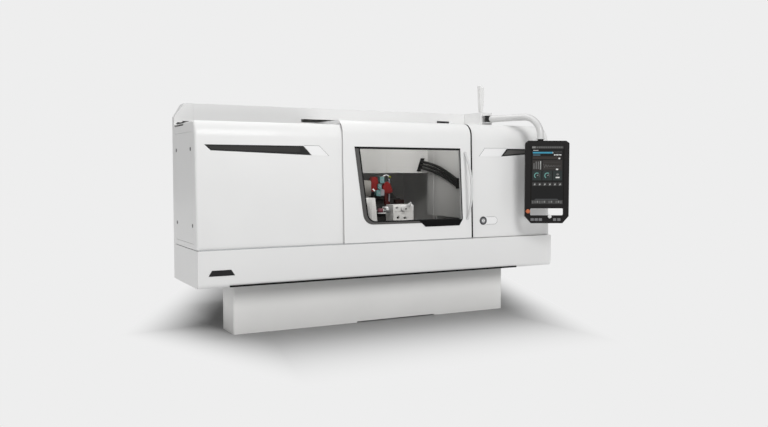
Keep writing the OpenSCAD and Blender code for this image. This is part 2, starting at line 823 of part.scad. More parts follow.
module rear_housing() {
  color([0.86, 0.86, 0.86]) intersection() {
    rear_shell();
    box([cap_seam_x + cap_gap / 2, joint_y, 0], [rear_x1, back_y, rear_top]);
  }
  color([0.86, 0.86, 0.86])
    for (z = hinge_zs(service_z0, service_z1)) fixed_knuckle(service_x0, z, 1);
}

module rear_end_cap() {
  color([0.86, 0.86, 0.86]) intersection() {
    rear_shell();
    box([left_x, joint_y, 0], [cap_seam_x - cap_gap / 2, back_y, rear_top]);
  }
}

// Hinged service door in the rear wall, with its hinge knuckles on the left edge
module rear_service_door() {
  color([0.84, 0.84, 0.84]) {
    for (z = hinge_zs(service_z0, service_z1)) turning_knuckle(service_x0, z, 1);
    for (z = [service_z0 + 200, service_z1 - 200]) translate([service_x1 - 60, back_y, z]) rotate([-90, 0, 0]) key_lock();
  }
  color([0.84, 0.84, 0.84]) difference() {
    union() {
      box([service_x0 + panel_fit, back_y - sheet, service_z0 + panel_fit], [service_x1 - panel_fit, back_y, service_z1 - panel_fit]);
      box([service_x0 + 40, back_y - 20, service_z0 + 40], [service_x1 - 40, back_y - sheet, service_z1 - 40]);
    }
    box([service_x0 + 40 + sheet, back_y - 21, service_z0 + 40 + sheet], [service_x1 - 40 - sheet, back_y - sheet, service_z1 - 40 - sheet]);
  }
}

// Lift-off hinge on a rear wall: the lower knuckle with its pin is fixed, the upper one turns
knuckle_d = 18;
knuckle_h = 40;
pin_d = 8;
pin_fit = 0.05;
leaf_t = 3;
leaf_w = 34;
axis_out = 9;

module fixed_knuckle(x, z, dir) {
  translate([x, back_y + axis_out, z - knuckle_h]) {
    cylinder(h = knuckle_h - part_gap, d = knuckle_d, $fn = 48);
    cylinder(h = 2 * knuckle_h - 6, d = pin_d, $fn = 48);
    translate([min(0, -dir * leaf_w), -axis_out, 0]) cube([leaf_w, leaf_t, knuckle_h - part_gap]);
  }
}

module turning_knuckle(x, z, dir) {
  translate([x, back_y + axis_out, z]) difference() {
    union() {
      cylinder(h = knuckle_h, d = knuckle_d, $fn = 48);
      translate([min(0, dir * leaf_w), -axis_out, 0]) cube([leaf_w, leaf_t, knuckle_h]);
    }
    translate([0, 0, -1]) cylinder(h = knuckle_h - 5, r = pin_d / 2 + pin_fit, $fn = 48);
  }
}

// ---------------------------------------------------------------- cabin

back_panel_y = front_y + 900;
back_panel_low = 1330;
ceiling_z = 1785;
panel_seam_x = left_x + 2140;
cabin_left_x = rear_left_x + 60;
wall_low = 900;
wall_front_y = front_y + 110;
wall_cut = 50;
seam_w = 4;
seam_deep = 2;

// Folded back panel with its ceiling flange
module cabin_back_wall() {
  color([0.80, 0.81, 0.82]) difference() {
    union() {
      box([cabin_left_x, back_panel_y - sheet, back_panel_low], [wall_x, back_panel_y, ceiling_z]);
      box([cabin_left_x, joint_y + sheet, ceiling_z - sheet], [wall_x, back_panel_y, ceiling_z]);
    }
    box([panel_seam_x, back_panel_y - sheet - 1, back_panel_low - 1], [panel_seam_x + seam_w, back_panel_y - sheet + seam_deep, ceiling_z - sheet]);
  }
}

module cabin_right_wall() {
  color([0.66, 0.67, 0.68])
  along_x(wall_x, wall_x + sheet) polygon([
    [wall_front_y, wall_low], [back_panel_y, wall_low], [back_panel_y, left_top - joint_drop], [joint_y, left_top - joint_drop],
    [joint_y, left_top], [wall_front_y + wall_cut, left_top], [wall_front_y, left_top - wall_cut]
  ]);
}

// Closed ring-by-ring tube along a route of points (one polyhedron)
function unit(v) = v / norm(v);
function route_tangent(p, i) = unit(p[min(i + 1, len(p) - 1)] - p[max(i - 1, 0)]);
function ring(c, t, r, n) =
  let (a = unit(cross(t, [0.1, 0.2, 1])), b = cross(a, t))
  [for (k = [0:n - 1]) c + r * (a * cos(360 * k / n) + b * sin(360 * k / n))];
module swept_tube(p, r, n) {
  m = len(p);
  polyhedron(
    points = [for (i = [0:m - 1]) each ring(p[i], route_tangent(p, i), r, n)],
    faces = concat(
      [[for (k = [n - 1:-1:0]) k]],
      [for (i = [0:m - 2], k = [0:n - 1])
        [i * n + k, i * n + (k + 1) % n, (i + 1) * n + (k + 1) % n, (i + 1) * n + k]],
      [[for (k = [0:n - 1]) (m - 1) * n + k]]
    )
  );
}

hose_d = 28;
hose_pitch = 31;
hose_steps = 16;
hose_lean = 11;
hose_start = [wall_x - 86, back_panel_y - sheet - 12, 1413];
hose_end = [wall_x - 24, front_y + 300, 1232];
hose_rise = 32;
plate_half_h = 67;
plate_half_w = 21;
clip_half_h = 50;
function hose_point(i, k) =
  let (u = i / hose_steps)
  hose_start + (hose_end - hose_start) * u + [0, 0, hose_rise * sin(180 * u)]
  + (k - 1) * [hose_lean * (1 - u), 0, hose_pitch];

// Three black hoses from the slanted plate on the back wall to the clip on the right wall
module hose_bundle() {
  plate_lean = hose_lean * plate_half_h / hose_pitch;
  color([0.05, 0.05, 0.06]) {
    for (k = [0:2]) swept_tube([for (i = [0:hose_steps]) hose_point(i, k)], hose_d / 2, 10);
    translate([hose_start[0], 0, hose_start[2]]) along_y(back_panel_y - sheet - 12, back_panel_y - sheet)
      polygon([
        [-plate_lean - plate_half_w, -plate_half_h], [-plate_lean + plate_half_w, -plate_half_h],
        [plate_lean + plate_half_w, plate_half_h], [plate_lean - plate_half_w, plate_half_h]
      ]);
    box([wall_x - 44, hose_end[1] - 14, hose_end[2] - clip_half_h], [wall_x, hose_end[1], hose_end[2] + clip_half_h]);
  }
}

// ---------------------------------------------------------------- electrical cabinet

cabinet_x1 = left_x + 3450;
cabinet_z0 = 320;
cabinet_z1 = 1780;
cabinet_sheet = 5;
cabinet_frame = 50;
plate_depth = 333;
plate_y = joint_y + plate_depth;
plate_in = 60;
plate_side = 30;
bracket_w = 20;
module_pitch = 74;
module_w = 60;
module_d = 220;
terminal_pitch = 37;
terminal_w = 32;
terminal_d = 70;
duct_d = 60;
duct_h = 50;
row_in = 55;
lock_in = 40;
hinge_in = 200;
lock_rise = 250;

module electrical_cabinet() {
  color([0.84, 0.84, 0.84]) {
    difference() {
      box([rear_x1, joint_y, cabinet_z0], [cabinet_x1, back_y, cabinet_z1]);
      box(
        [rear_x1 + cabinet_sheet, joint_y + cabinet_sheet, cabinet_z0 + cabinet_sheet],
        [cabinet_x1 - cabinet_sheet, back_y - cabinet_sheet, cabinet_z1 - cabinet_sheet]
      );
      box(
        [rear_x1 + cabinet_frame, back_y - cabinet_sheet - 1, cabinet_z0 + cabinet_frame],
        [cabinet_x1 - cabinet_frame, back_y + 1, cabinet_z1 - cabinet_frame]
      );
    }
    for (z = hinge_zs(cabinet_z0, cabinet_z1)) fixed_knuckle(cabinet_x1 - cabinet_frame, z, -1);
  }
}

function hinge_zs(z0, z1) = [z0 + hinge_in, z1 - hinge_in];

module cabinet_door() {
  x0 = rear_x1 + cabinet_frame + panel_fit;
  x1 = cabinet_x1 - cabinet_frame - panel_fit;
  z0 = cabinet_z0 + cabinet_frame + panel_fit;
  z1 = cabinet_z1 - cabinet_frame - panel_fit;
  color([0.84, 0.84, 0.84]) {
    box([x0, back_y - cabinet_sheet, z0], [x1, back_y, z1]);
    for (z = hinge_zs(cabinet_z0, cabinet_z1)) turning_knuckle(cabinet_x1 - cabinet_frame, z, -1);
    for (z = [z0 + lock_rise, z1 - lock_rise]) translate([x0 + lock_in, back_y, z]) rotate([-90, 0, 0]) key_lock();
  }
}

// Flush quarter-turn lock insert with a three-sided key recess
module key_lock() {
  difference() {
    cylinder(h = 4, d = 28, $fn = 48);
    translate([0, 0, 1]) cylinder(h = 4, d = 16, $fn = 3);
  }
}

plate_face = plate_y + 3;
drive_zs = [1180, 1560];
terminal_zs = [860, 960];
duct_zs = [1080, 1620, 740];

// Mounting plate with rows of drive modules and a wiring duct
module mounting_plate() {
  color([0.55, 0.56, 0.58]) {
    box([rear_x1 + plate_side, plate_y, cabinet_z0 + plate_in], [cabinet_x1 - plate_side, plate_face, cabinet_z1 - plate_in]);
    for (x = [rear_x1 + plate_side, cabinet_x1 - plate_side - bracket_w])
      box([x, joint_y + cabinet_sheet, cabinet_z0 + plate_in], [x + bracket_w, plate_y + 0.01, cabinet_z0 + plate_in + 30]);
    for (i = [0:4])
      box(
        [rear_x1 + row_in + module_pitch * i, plate_face, drive_zs[0]],
        [rear_x1 + row_in + module_pitch * i + module_w, plate_face + module_d, drive_zs[1]]
      );
    for (i = [0:9])
      box(
        [rear_x1 + row_in + terminal_pitch * i, plate_face, terminal_zs[0]],
        [rear_x1 + row_in + terminal_pitch * i + terminal_w, plate_face + terminal_d, terminal_zs[1]]
      );
    for (z = duct_zs) box([rear_x1 + 50, plate_face, z], [cabinet_x1 - plate_in, plate_face + duct_d, z + duct_h]);
  }
}

switch_from_back = 300;
switch_y = back_y - switch_from_back;
switch_z = 1450;
switch_r = 5;

module main_switch() {
  color([0.75, 0.10, 0.08])
  translate([cabinet_x1, switch_y, switch_z]) rotate([0, 90, 0]) {
    translate([0, 0, part_gap]) cylinder(h = 14, d = 50, $fn = 64);
    translate([-30, -7, 14]) cube([60, 14, 18]);
  }
}

// ---------------------------------------------------------------- console, arm and lamp

console_x0 = left_x + console_from_left;
console_x1 = console_x0 + console_len;
console_y0 = front_y + console_setback;
pivot_x = console_x0 + 49;
pivot_y = console_y0 - 60;
core_d = 73;
core_h = 64;
lug_t = 5;
lug_gap = 0.4;
pivot_pin_r = 10;
collar_x = 30;
collar_in = 13;
collar_len = 90;
collar_d = 70;
tube_wall = 4;
panel_top = panel_z + panel_h / 2;
hub_h = 15;
mast_end = panel_top + hub_h + part_gap;
spigot_r = 20;
spigot_h = 25;

module arm_console() {
  color([0.85, 0.85, 0.85]) {
    difference() {
      rounded_bar([console_x0, console_y0, roof_z], [console_x1, joint_y, rear_top], 6);
      rounded_bar([console_x0 + sheet, console_y0 + sheet, roof_z - 1], [console_x1 - sheet, joint_y - sheet, rear_top - sheet], 4);
    }
    for (z = [arm_z - core_h / 2 - lug_t - lug_gap, arm_z + core_h / 2 + lug_gap]) hull() {
      translate([pivot_x, pivot_y, z]) cylinder(h = lug_t, d = core_d + 4, $fn = 64);
      translate([pivot_x - core_d / 2 - 2, console_y0, z]) cube([core_d + 4, 1, lug_t]);
    }
    translate([pivot_x, pivot_y, arm_z - core_h / 2 - lug_gap]) cylinder(h = core_h + 2 * lug_gap, r = pivot_pin_r, $fn = 64);
  }
}

lamp_x = console_x0 + 26;
lamp_y = console_y0 + 42;
lamp_low_w = 32;
lamp_top_w = 57;
lamp_t = 40;
lamp_foot_h = 12;

// Tapered signal lamp with a slanted top, on a round foot
module signal_lamp() {
  color([0.88, 0.88, 0.86]) translate([lamp_x, lamp_y, rear_top]) {
    cylinder(h = lamp_foot_h, d = lamp_low_w - 4, $fn = 48);
    along_y(-lamp_t / 2, lamp_t / 2)
      polygon([
        [-lamp_low_w / 2, lamp_foot_h], [lamp_low_w / 2, lamp_foot_h],
        [lamp_top_w / 2, lamp_h - 26], [-lamp_top_w / 2 + 8, lamp_h], [-lamp_top_w / 2, lamp_h - 8]
      ]);
  }
}

module arm_frame() {
  translate([pivot_x, pivot_y, arm_z]) rotate([0, 0, -arm_angle]) children();
}

// Black swivel housing around the pivot pin, cut flat where the collar starts
module arm_joint() {
  color([0.05, 0.05, 0.06]) arm_frame() difference() {
    translate([0, 0, -core_h / 2]) cylinder(h = core_h, d = core_d, $fn = 96);
    translate([0, 0, -core_h]) cylinder(h = 2 * core_h, r = pivot_pin_r + pin_fit, $fn = 64);
    translate([collar_x, -core_d, -core_h]) cube(2 * core_d);
  }
}

// Path of the arm: straight out, a quarter bend, straight down to the panel's hub
module arm_sweep(d, extra) {
  run = arm_reach - tube_bend;
  translate([collar_x - extra, 0, 0]) rotate([0, 90, 0]) cylinder(h = run - collar_x + extra, d = d, $fn = 64);
  translate([run, 0, -tube_bend]) rotate([90, 0, 0]) rotate_extrude(angle = 90, $fn = 128) translate([tube_bend, 0]) circle(d = d, $fn = 64);
  translate([arm_reach, 0, mast_end - arm_z - extra]) cylinder(h = arm_z - tube_bend - mast_end + extra, d = d, $fn = 64);
}

module arm_tube() {
  color([0.87, 0.87, 0.86]) arm_frame() difference() {
    union() {
      arm_sweep(tube_d, 0);
      translate([collar_x + collar_in, 0, 0]) rotate([0, 90, 0]) cylinder(h = collar_len, d1 = collar_d, d2 = tube_d - 1, $fn = 64);
      translate([arm_reach, 0, mast_end - arm_z]) cylinder(h = 8, d = tube_d + 14, $fn = 64);
    }
    difference() {
      arm_sweep(tube_d - 2 * tube_wall, 1);
      translate([arm_reach, 0, mast_end - arm_z - 2]) cylinder(h = spigot_h + 6, d = tube_d, $fn = 64);
    }
    translate([arm_reach, 0, mast_end - arm_z - 1]) cylinder(h = spigot_h + 8, r = spigot_r + pin_fit, $fn = 64);
  }
}

// ---------------------------------------------------------------- control panel

mast_x = pivot_x + arm_reach * cos(arm_angle);
mast_y = pivot_y - arm_reach * sin(arm_angle);
panel_off = 60;
front_t = 30;
rear_in = 26;
corner_top = [30, 22];
corner_low = [58, 66];
screen_t = 2;
screen_z = 66;
screen_shift = 1.5;
grip_z = -280;
key_w = 30;
key_h = 24;
key_z = -352;
key_deep = 6;
key_out = 3;
key_travel = 2;
key_xs = [-136, -98, -60, 74, 114];
knob_x = 25;
knob_z = -322;
knob_d = 34;
knob_h = 18;
shaft_r = 5;
stop_x = -179;
stop_z = -274;
stem_r = 8;
stop_travel = 4;

// Panel frame: x along the panel, y into it from its front face, z up, origin at its middle
module panel_frame() {
  translate([mast_x, mast_y, panel_z]) rotate([0, 0, -panel_turn]) translate([panel_off, -panel_t / 2, 0]) children();
}

function panel_outline(d) =
  let (w = panel_w / 2 - d, h = panel_h / 2 - d)
  [
    [-w + corner_low[0], -h], [w - corner_low[0], -h], [w, -h + corner_low[1]], [w, h - corner_top[1]],
    [w - corner_top[0], h], [-w + corner_top[0], h], [-w, h - corner_top[1]], [-w, -h + corner_low[1]]
  ];

module control_panel() {
  color([0.06, 0.06, 0.07]) panel_frame() {
    difference() {
      union() {
        along_y(0, front_t) polygon(panel_outline(0));
        along_y(front_t - 0.01, panel_t) intersection() {
          polygon(panel_outline(rear_in));
          translate([-panel_w, grip_z + grip_h / 2 + rear_in]) square([2 * panel_w, panel_h]);
        }
      }
      along_y(-1, screen_t) translate([screen_shift, screen_z]) square([display_w, display_h], center = true);
      along_y(-1, front_t + 1) translate([0, grip_z]) rounded_rectangle([-grip_w / 2, -grip_h / 2], [grip_w / 2, grip_h / 2], 12);
      for (k = [0:key_count - 1]) along_y(-1, key_deep + key_travel + 0.5) translate([key_xs[k], key_z])
        square([key_w + 2 * key_gap, key_h + 2 * key_gap], center = true);
      translate([knob_x, -1, knob_z]) rotate([-90, 0, 0]) cylinder(h = 13, r = shaft_r + pin_fit, $fn = 48);
      translate([stop_x, -1, stop_z]) rotate([-90, 0, 0]) cylinder(h = 23, r = stem_r + pin_fit, $fn = 48);
    }
    translate([-panel_off, panel_t / 2, panel_h / 2 - 0.01]) {
      cylinder(h = hub_h, d = panel_t - 2, $fn = 64);
      cylinder(h = hub_h + spigot_h, r = spigot_r, $fn = 64);
    }
  }
}

module screen() {
  color([0.10, 0.11, 0.12]) panel_frame() along_y(0.2, screen_t) translate([screen_shift, screen_z])
    square([display_w - part_gap, display_h - part_gap], center = true);
}

// Mushroom head on a stem that slides in the panel
module emergency_stop() {
  color([0.80, 0.22, 0.05]) panel_frame() translate([stop_x, 0, stop_z]) rotate([-90, 0, 0]) {
    translate([0, 0, -8]) cylinder(h = 24, r = stem_r, $fn = 48);
    translate([0, 0, -8]) rotate([180, 0, 0]) rotate_extrude($fn = 64)
      polygon(concat([[0, 0], [stop_d / 2, 0]], [for (i = [0:6]) [stop_d / 2 - 6 + 6 * cos(15 * i), 7 + 6 * sin(15 * i)]], [[0, 14]]));
  }
}

// Fluted dial on a shaft that turns in the panel
module override_knob() {
  color([0.82, 0.82, 0.82]) panel_frame() translate([knob_x, 0, knob_z]) rotate([-90, 0, 0]) {
    translate([0, 0, -2]) cylinder(h = 12, r = shaft_r, $fn = 48);
    translate([0, 0, -knob_h]) difference() {
      cylinder(h = knob_h - part_gap, d = knob_d, $fn = 64);
      for (a = [0:30:330]) rotate([0, 0, a]) translate([knob_d / 2 + 1, 0, -1]) cylinder(h = knob_h - 3, d = 5, $fn = 16);
      translate([-1, 0, -1]) cube([2, knob_d, 2]);
    }
  }
}

// Push button in its pocket, with a dished face
module panel_key(k) {
  color([0.30, 0.30, 0.31]) panel_frame() translate([key_xs[k], 0, key_z]) difference() {
    along_y(-key_out, key_deep) square([key_w, key_h], center = true);
    translate([0, -key_out - 38, 0]) cylinder(h = key_h + 2, r = 39, center = true, $fn = 96);
  }
}
module panel_key_1() { panel_key(0); }
module panel_key_2() { panel_key(1); }
module panel_key_3() { panel_key(2); }
module panel_key_4() { panel_key(3); }
module panel_key_5() { panel_key(4); }

// ---------------------------------------------------------------- table

table_top = work_axis_z - centre_height;
swivel_low = table_top - swivel_table_t;
slide_low = bed_top + way_h / 3 + slide_gap;
slide_top = swivel_low - slide_gap;
slide_x0 = -table_len / 2;
slide_x1 = table_len / 2;
slide_w = table_w + 20;
table_back = 70;
screw_z = bed_top + 40;
screw_fit = 0.05;
channel_w = 64;
channel_top = screw_z + 34;
nut_len = 120;
bearing_t = 36;
swivel_pin_r = 22;
swivel_pin_h = 40;

module long_slide() {
  color([0.60, 0.61, 0.62]) difference() {
    union() {
      difference() {
        box([slide_x0, work_y - slide_w / 2, slide_low], [slide_x1, work_y + slide_w / 2, slide_top]);
        translate([0, vee_y, 0]) vee_way(slide_x0 - 1, slide_x1 + 1, way_w + 2 * slide_gap, way_h + slide_gap, bed_top);
        box([slide_x0 - 1, work_y - channel_w / 2, bed_top], [slide_x1 + 1, work_y + channel_w / 2, channel_top]);
      }
      box([-nut_len / 2, work_y - channel_w / 2 - 1, screw_z - 24], [nut_len / 2, work_y + channel_w / 2 + 1, channel_top + 1]);
      translate([0, work_y, slide_top - 1]) cylinder(h = swivel_pin_h + 1, r = swivel_pin_r, $fn = 64);
    }
    translate([-nut_len, work_y, screw_z]) rotate([0, 90, 0]) cylinder(h = 2 * nut_len, r = table_screw_d / 2 + screw_fit, $fn = 64);
  }
}

module table_screw() {
  color([0.62, 0.63, 0.65]) translate([way_x0 - bearing_t, work_y, screw_z]) rotate([0, 90, 0]) {
    cylinder(h = way_len + 2 * bearing_t + 20, d = table_screw_d, $fn = 64);
  }
}

// Bearing blocks that stand on the bed and hold a screw
module bearing_block(bore_r) {
  difference() {
    translate([0, -28, -screw_z + bed_top - 1]) cube([bearing_t, 56, screw_z - bed_top + 29]);
    translate([-1, 0, 0]) rotate([0, 90, 0]) cylinder(h = bearing_t + 2, r = bore_r, $fn = 64);
  }
}

tee_w = 14;
tee_wide = 24;
tee_deep = 22;

module swivel_table() {
  y0 = work_y + table_back - table_w;
  y1 = work_y + table_back;
  color([0.70, 0.71, 0.72]) {
    difference() {
      along_x(slide_x0, slide_x1) difference() {
        polygon([
          [y0, swivel_low + 18], [y0 + 12, swivel_low], [y1 - 12, swivel_low], [y1, swivel_low + 18],
          [y1, table_top - 20], [y1 - 14, table_top], [y0 + 14, table_top], [y0, table_top - 20]
        ]);
        translate([work_y - tee_w / 2, table_top - tee_deep]) square([tee_w, tee_deep + 1]);
        translate([work_y - tee_wide / 2, table_top - tee_deep]) square([tee_wide, 9]);
      }
      translate([0, work_y, swivel_low - 1]) cylinder(h = swivel_pin_h + 4, r = swivel_pin_r + pin_fit, $fn = 64);
    }
  }
}

// ---------------------------------------------------------------- workhead and tailstock

head_x1 = head_nose_x;
head_x0 = head_nose_x - head_len;
spindle_r = 40;
spindle_fit = 0.05;
flange_t = 20;
nose_gap = 0.5;
tip_len = 70;
head_corner = 12;
tail_corner = 22;

// Outline of a headstock body (y, z) over the table: straight sides, rounded shoulders
function head_outline(w, rise, r) =
  let (top = work_axis_z + rise)
  concat(
    [[work_y - w / 2, table_top], [work_y - w / 2, top - r]],
    [for (i = [1:8]) let (a = 180 - 90 * i / 8) [work_y - w / 2 + r + r * cos(a), top - r + r * sin(a)]],
    [for (i = [0:8]) let (a = 90 - 90 * i / 8) [work_y + w / 2 - r + r * cos(a), top - r + r * sin(a)]],
    [[work_y + w / 2, table_top]]
  );

module workhead() {
  color([0.84, 0.84, 0.84]) difference() {
    union() {
      along_x(head_x0, head_x1) polygon(head_outline(head_w, head_rise, head_corner));
      box([head_x0 + 30, work_y - head_w / 2 - 12, table_top], [head_x1 - 30, work_y + head_w / 2 + 12, table_top + 34]);
      translate([head_x0 - 60, work_y, work_axis_z]) rotate([0, 90, 0]) cylinder(h = 61, d = head_w - 60, $fn = 96);
    }
    translate([head_x0 + 60, work_y, work_axis_z]) rotate([0, 90, 0]) cylinder(h = head_len, r = spindle_r + spindle_fit, $fn = 96);
    for (s = [-1, 1], x = [head_x0 + 60, head_x1 - 60])
      translate([x, work_y + s * (head_w / 2 + 6), table_top + 22]) cylinder(h = 20, d = 9, $fn = 32);
  }
}

// Spindle with its flange, driver pin and taper centre
module work_spindle() {
  color([0.72, 0.73, 0.75]) translate([0, work_y, work_axis_z]) rotate([0, 90, 0]) {
    translate([0, 0, head_x0 + 62]) cylinder(h = head_len - 62 + nose_gap, r = spindle_r, $fn = 96);
    translate([0, 0, head_x1 + nose_gap]) cylinder(h = flange_t, d = spindle_d, $fn = 96);
    translate([0, 0, head_x1 + nose_gap + flange_t]) cylinder(h = tip_len - centre_d, d = centre_d, $fn = 64);
    translate([0, 0, head_x1 + nose_gap + flange_t + tip_len - centre_d]) cylinder(h = centre_d * 0.86, d1 = centre_d, d2 = 1, $fn = 64);
    translate([0, 16 - spindle_d / 2, head_x1 + flange_t]) cylinder(h = 34, d = 14, $fn = 32);
  }
}

quill_out = 45;
tail_pockets = [[38, 1000, 26], [52, 905, 30], [128, 900, 34]];
pocket_deep = 14;
tail_step_z = 958;
quill_len = 230;
lever_x = tail_x + 100;
lever_pin_r = 9;
lever_y = work_y - tail_w / 2;
lever_t = 16;
lever_len = 96;
lever_rest = 32;
lever_grip = 36;
lever_grip_d = 19;
lever_ball_z = lever_t - lever_grip_d / 2 - 1;

module tailstock() {
  color([0.84, 0.84, 0.84]) {
    difference() {
      union() {
        along_x(tail_x, tail_x + tail_len) polygon(head_outline(tail_w, tail_rise, tail_corner));
        box([tail_x + 20, work_y - tail_w / 2 - 12, table_top], [tail_x + tail_len - 20, work_y + tail_w / 2 + 12, table_top + 34]);
      }
      translate([tail_x - 1, work_y, work_axis_z]) rotate([0, 90, 0]) cylinder(h = tail_len - 15, r = quill_d / 2 + spindle_fit, $fn = 96);
      for (s = [-1, 1]) translate([tail_x + 60, work_y + s * 50, work_axis_z + tail_rise - 8]) cylinder(h = 20, d = 12, $fn = 32);
      for (p = tail_pockets) translate([tail_x + p[0], lever_y - 1, p[1]]) rotate([-90, 0, 0]) cylinder(h = pocket_deep + 1, d = p[2], $fn = 48);
      box([tail_x - 1, lever_y - 1, tail_step_z], [tail_x + tail_len + 1, lever_y + pocket_deep / 2, tail_step_z + 8]);
    }
    translate([lever_x, lever_y - lever_t - 3, work_axis_z + 20]) rotate([-90, 0, 0]) cylinder(h = lever_t + 4, r = lever_pin_r, $fn = 48);
  }
}

module quill() {
  color([0.74, 0.75, 0.77]) translate([tail_x - quill_out, work_y, work_axis_z]) rotate([0, 90, 0]) {
    cylinder(h = quill_len - 60, d = quill_d, $fn = 96);
    translate([0, 0, -30]) cylinder(h = 30, d = centre_d, $fn = 64);
    translate([0, 0, -30 - centre_d * 0.86]) cylinder(h = centre_d * 0.86, d1 = 1, d2 = centre_d, $fn = 64);
  }
}

// Lever on the tailstock's front side that draws the quill back
module quill_lever() {
  color([0.72, 0.72, 0.73]) translate([lever_x, lever_y - lever_t - part_gap, work_axis_z + 20]) rotate([-90, 0, 0]) difference() {
    union() {
      cylinder(h = lever_t, d = 42, $fn = 64);
      rotate([0, 0, -lever_rest]) translate([0, -7, lever_ball_z - 5]) cube([lever_len, 14, 10]);
      rotate([0, 0, -lever_rest]) translate([lever_len, 0, lever_ball_z]) rotate([0, 0, 90 + lever_rest]) {
        sphere(d = lever_grip_d - 1, $fn = 32);
        rotate([0, 90, 0]) cylinder(h = lever_grip, d1 = lever_grip_d - 4, d2 = lever_grip_d, $fn = 32);
      }
    }
    translate([0, 0, -1]) cylinder(h = lever_t + 2, r = lever_pin_r + pin_fit, $fn = 48);
  }
}

// ---------------------------------------------------------------- wheelhead

way_top = base_top + infeed_way_h;
cross_low = way_top + slide_gap;
cross_top = 740;
cross_y0 = front_y + 800;
cross_y1 = front_y + 1450;
cross_w = 420;
infeed_z = base_top + 32;
infeed_channel_w = 76;
infeed_channel_top = infeed_z + 30;
infeed_y0 = slab_y1 + 14;
infeed_y1 = leg_y1 - 8;
nut_y = front_y + 1100;
wheel_r = wheel_d / 2;
wheel_bore_r = 35;
head_body_x1 = head_body_x0 + wheelhead_len;

module infeed_bearing(y) {
  difference() {
    box([infeed_x - 30, y, base_top - 1], [infeed_x + 30, y + 20, infeed_z + 24]);
    translate([infeed_x, y - 1, infeed_z]) rotate([-90, 0, 0]) cylinder(h = 22, r = infeed_screw_d / 2 + screw_fit, $fn = 64);
  }
}

module cross_slide() {
  color([0.60, 0.61, 0.62]) difference() {
    union() {
      difference() {
        box([infeed_x - cross_w / 2, cross_y0, cross_low], [infeed_x + cross_w / 2, cross_y1, cross_top]);
        box([infeed_x - infeed_channel_w / 2, cross_y0 - 1, cross_low - 1], [infeed_x + infeed_channel_w / 2, cross_y1 + 1, infeed_channel_top]);
      }
      box([infeed_x - infeed_channel_w / 2 - 1, nut_y, infeed_z - 20], [infeed_x + infeed_channel_w / 2 + 1, nut_y + 80, infeed_channel_top + 1]);
    }
    translate([infeed_x, nut_y - 1, infeed_z]) rotate([-90, 0, 0]) cylinder(h = 82, r = infeed_screw_d / 2 + screw_fit, $fn = 64);
  }
}

module infeed_screw() {
  color([0.62, 0.63, 0.65]) translate([infeed_x, infeed_y0, infeed_z]) rotate([-90, 0, 0])
    cylinder(h = infeed_y1 - infeed_y0 - 20, d = infeed_screw_d, $fn = 64);
}

motor_w = 110;
motor_len = 150;

// Servo motors at the ends of the table screw and the infeed screw
module drive_motors() {
  color([0.10, 0.10, 0.11]) {
    difference() {
      box(
        [way_x0 + way_len + bearing_t, work_y - motor_w / 2, bed_top],
        [way_x0 + way_len + bearing_t + motor_len, work_y + motor_w / 2, bed_top + motor_w]
      );
      translate([way_x0 + way_len, work_y, screw_z]) rotate([0, 90, 0]) cylinder(h = bearing_t + 60, r = table_screw_d / 2 + screw_fit, $fn = 64);
    }
    difference() {
      box([infeed_x - motor_w / 2, leg_y1 - 60, base_top], [infeed_x + motor_w / 2, leg_y1, base_top + motor_w]);
      translate([infeed_x, leg_y1 - 61, infeed_z]) rotate([-90, 0, 0]) cylinder(h = 50, r = infeed_screw_d / 2 + screw_fit + 4, $fn = 64);
    }
  }
}

module wheelhead() {
  color([0.34, 0.35, 0.36]) difference() {
    union() {
      translate([head_body_x0, wheel_y, work_axis_z]) rotate([0, 90, 0]) cylinder(h = wheelhead_len, d = spindle_housing_d, $fn = 96);
      along_x(head_body_x0 + 20, head_body_x1 - 20) polygon([
        [wheel_y - 60, cross_top], [wheel_y - 60, work_axis_z], [wheel_y, work_axis_z + 96], [wheel_y + 90, work_axis_z + 150],
        [wheel_y + 440, work_axis_z + 150], [wheel_y + 480, work_axis_z + 110], [wheel_y + 480, cross_top]
      ]);
    }
    translate([head_body_x0 - 1, wheel_y, work_axis_z]) rotate([0, 90, 0]) cylinder(h = wheelhead_len - 40, r = wheel_bore_r + spindle_fit, $fn = 96);
  }
}

module grinding_wheel() {
  color([0.82, 0.80, 0.76]) translate([wheel_x, wheel_y, work_axis_z]) rotate([0, 90, 0]) {
    translate([0, 0, -wheel_t / 2]) cylinder(h = wheel_t, r = wheel_r, $fn = 144);
    translate([0, 0, -wheel_t / 2 - 8]) cylinder(h = wheel_t + 16, d = 200, $fn = 96);
    cylinder(h = head_body_x1 - 50 - wheel_x, r = wheel_bore_r, $fn = 96);
  }
}

guard_r = wheel_r + 22;
guard_x0 = wheel_x - wheel_t / 2 - 22;
guard_t = 5;
guard_open = 62;

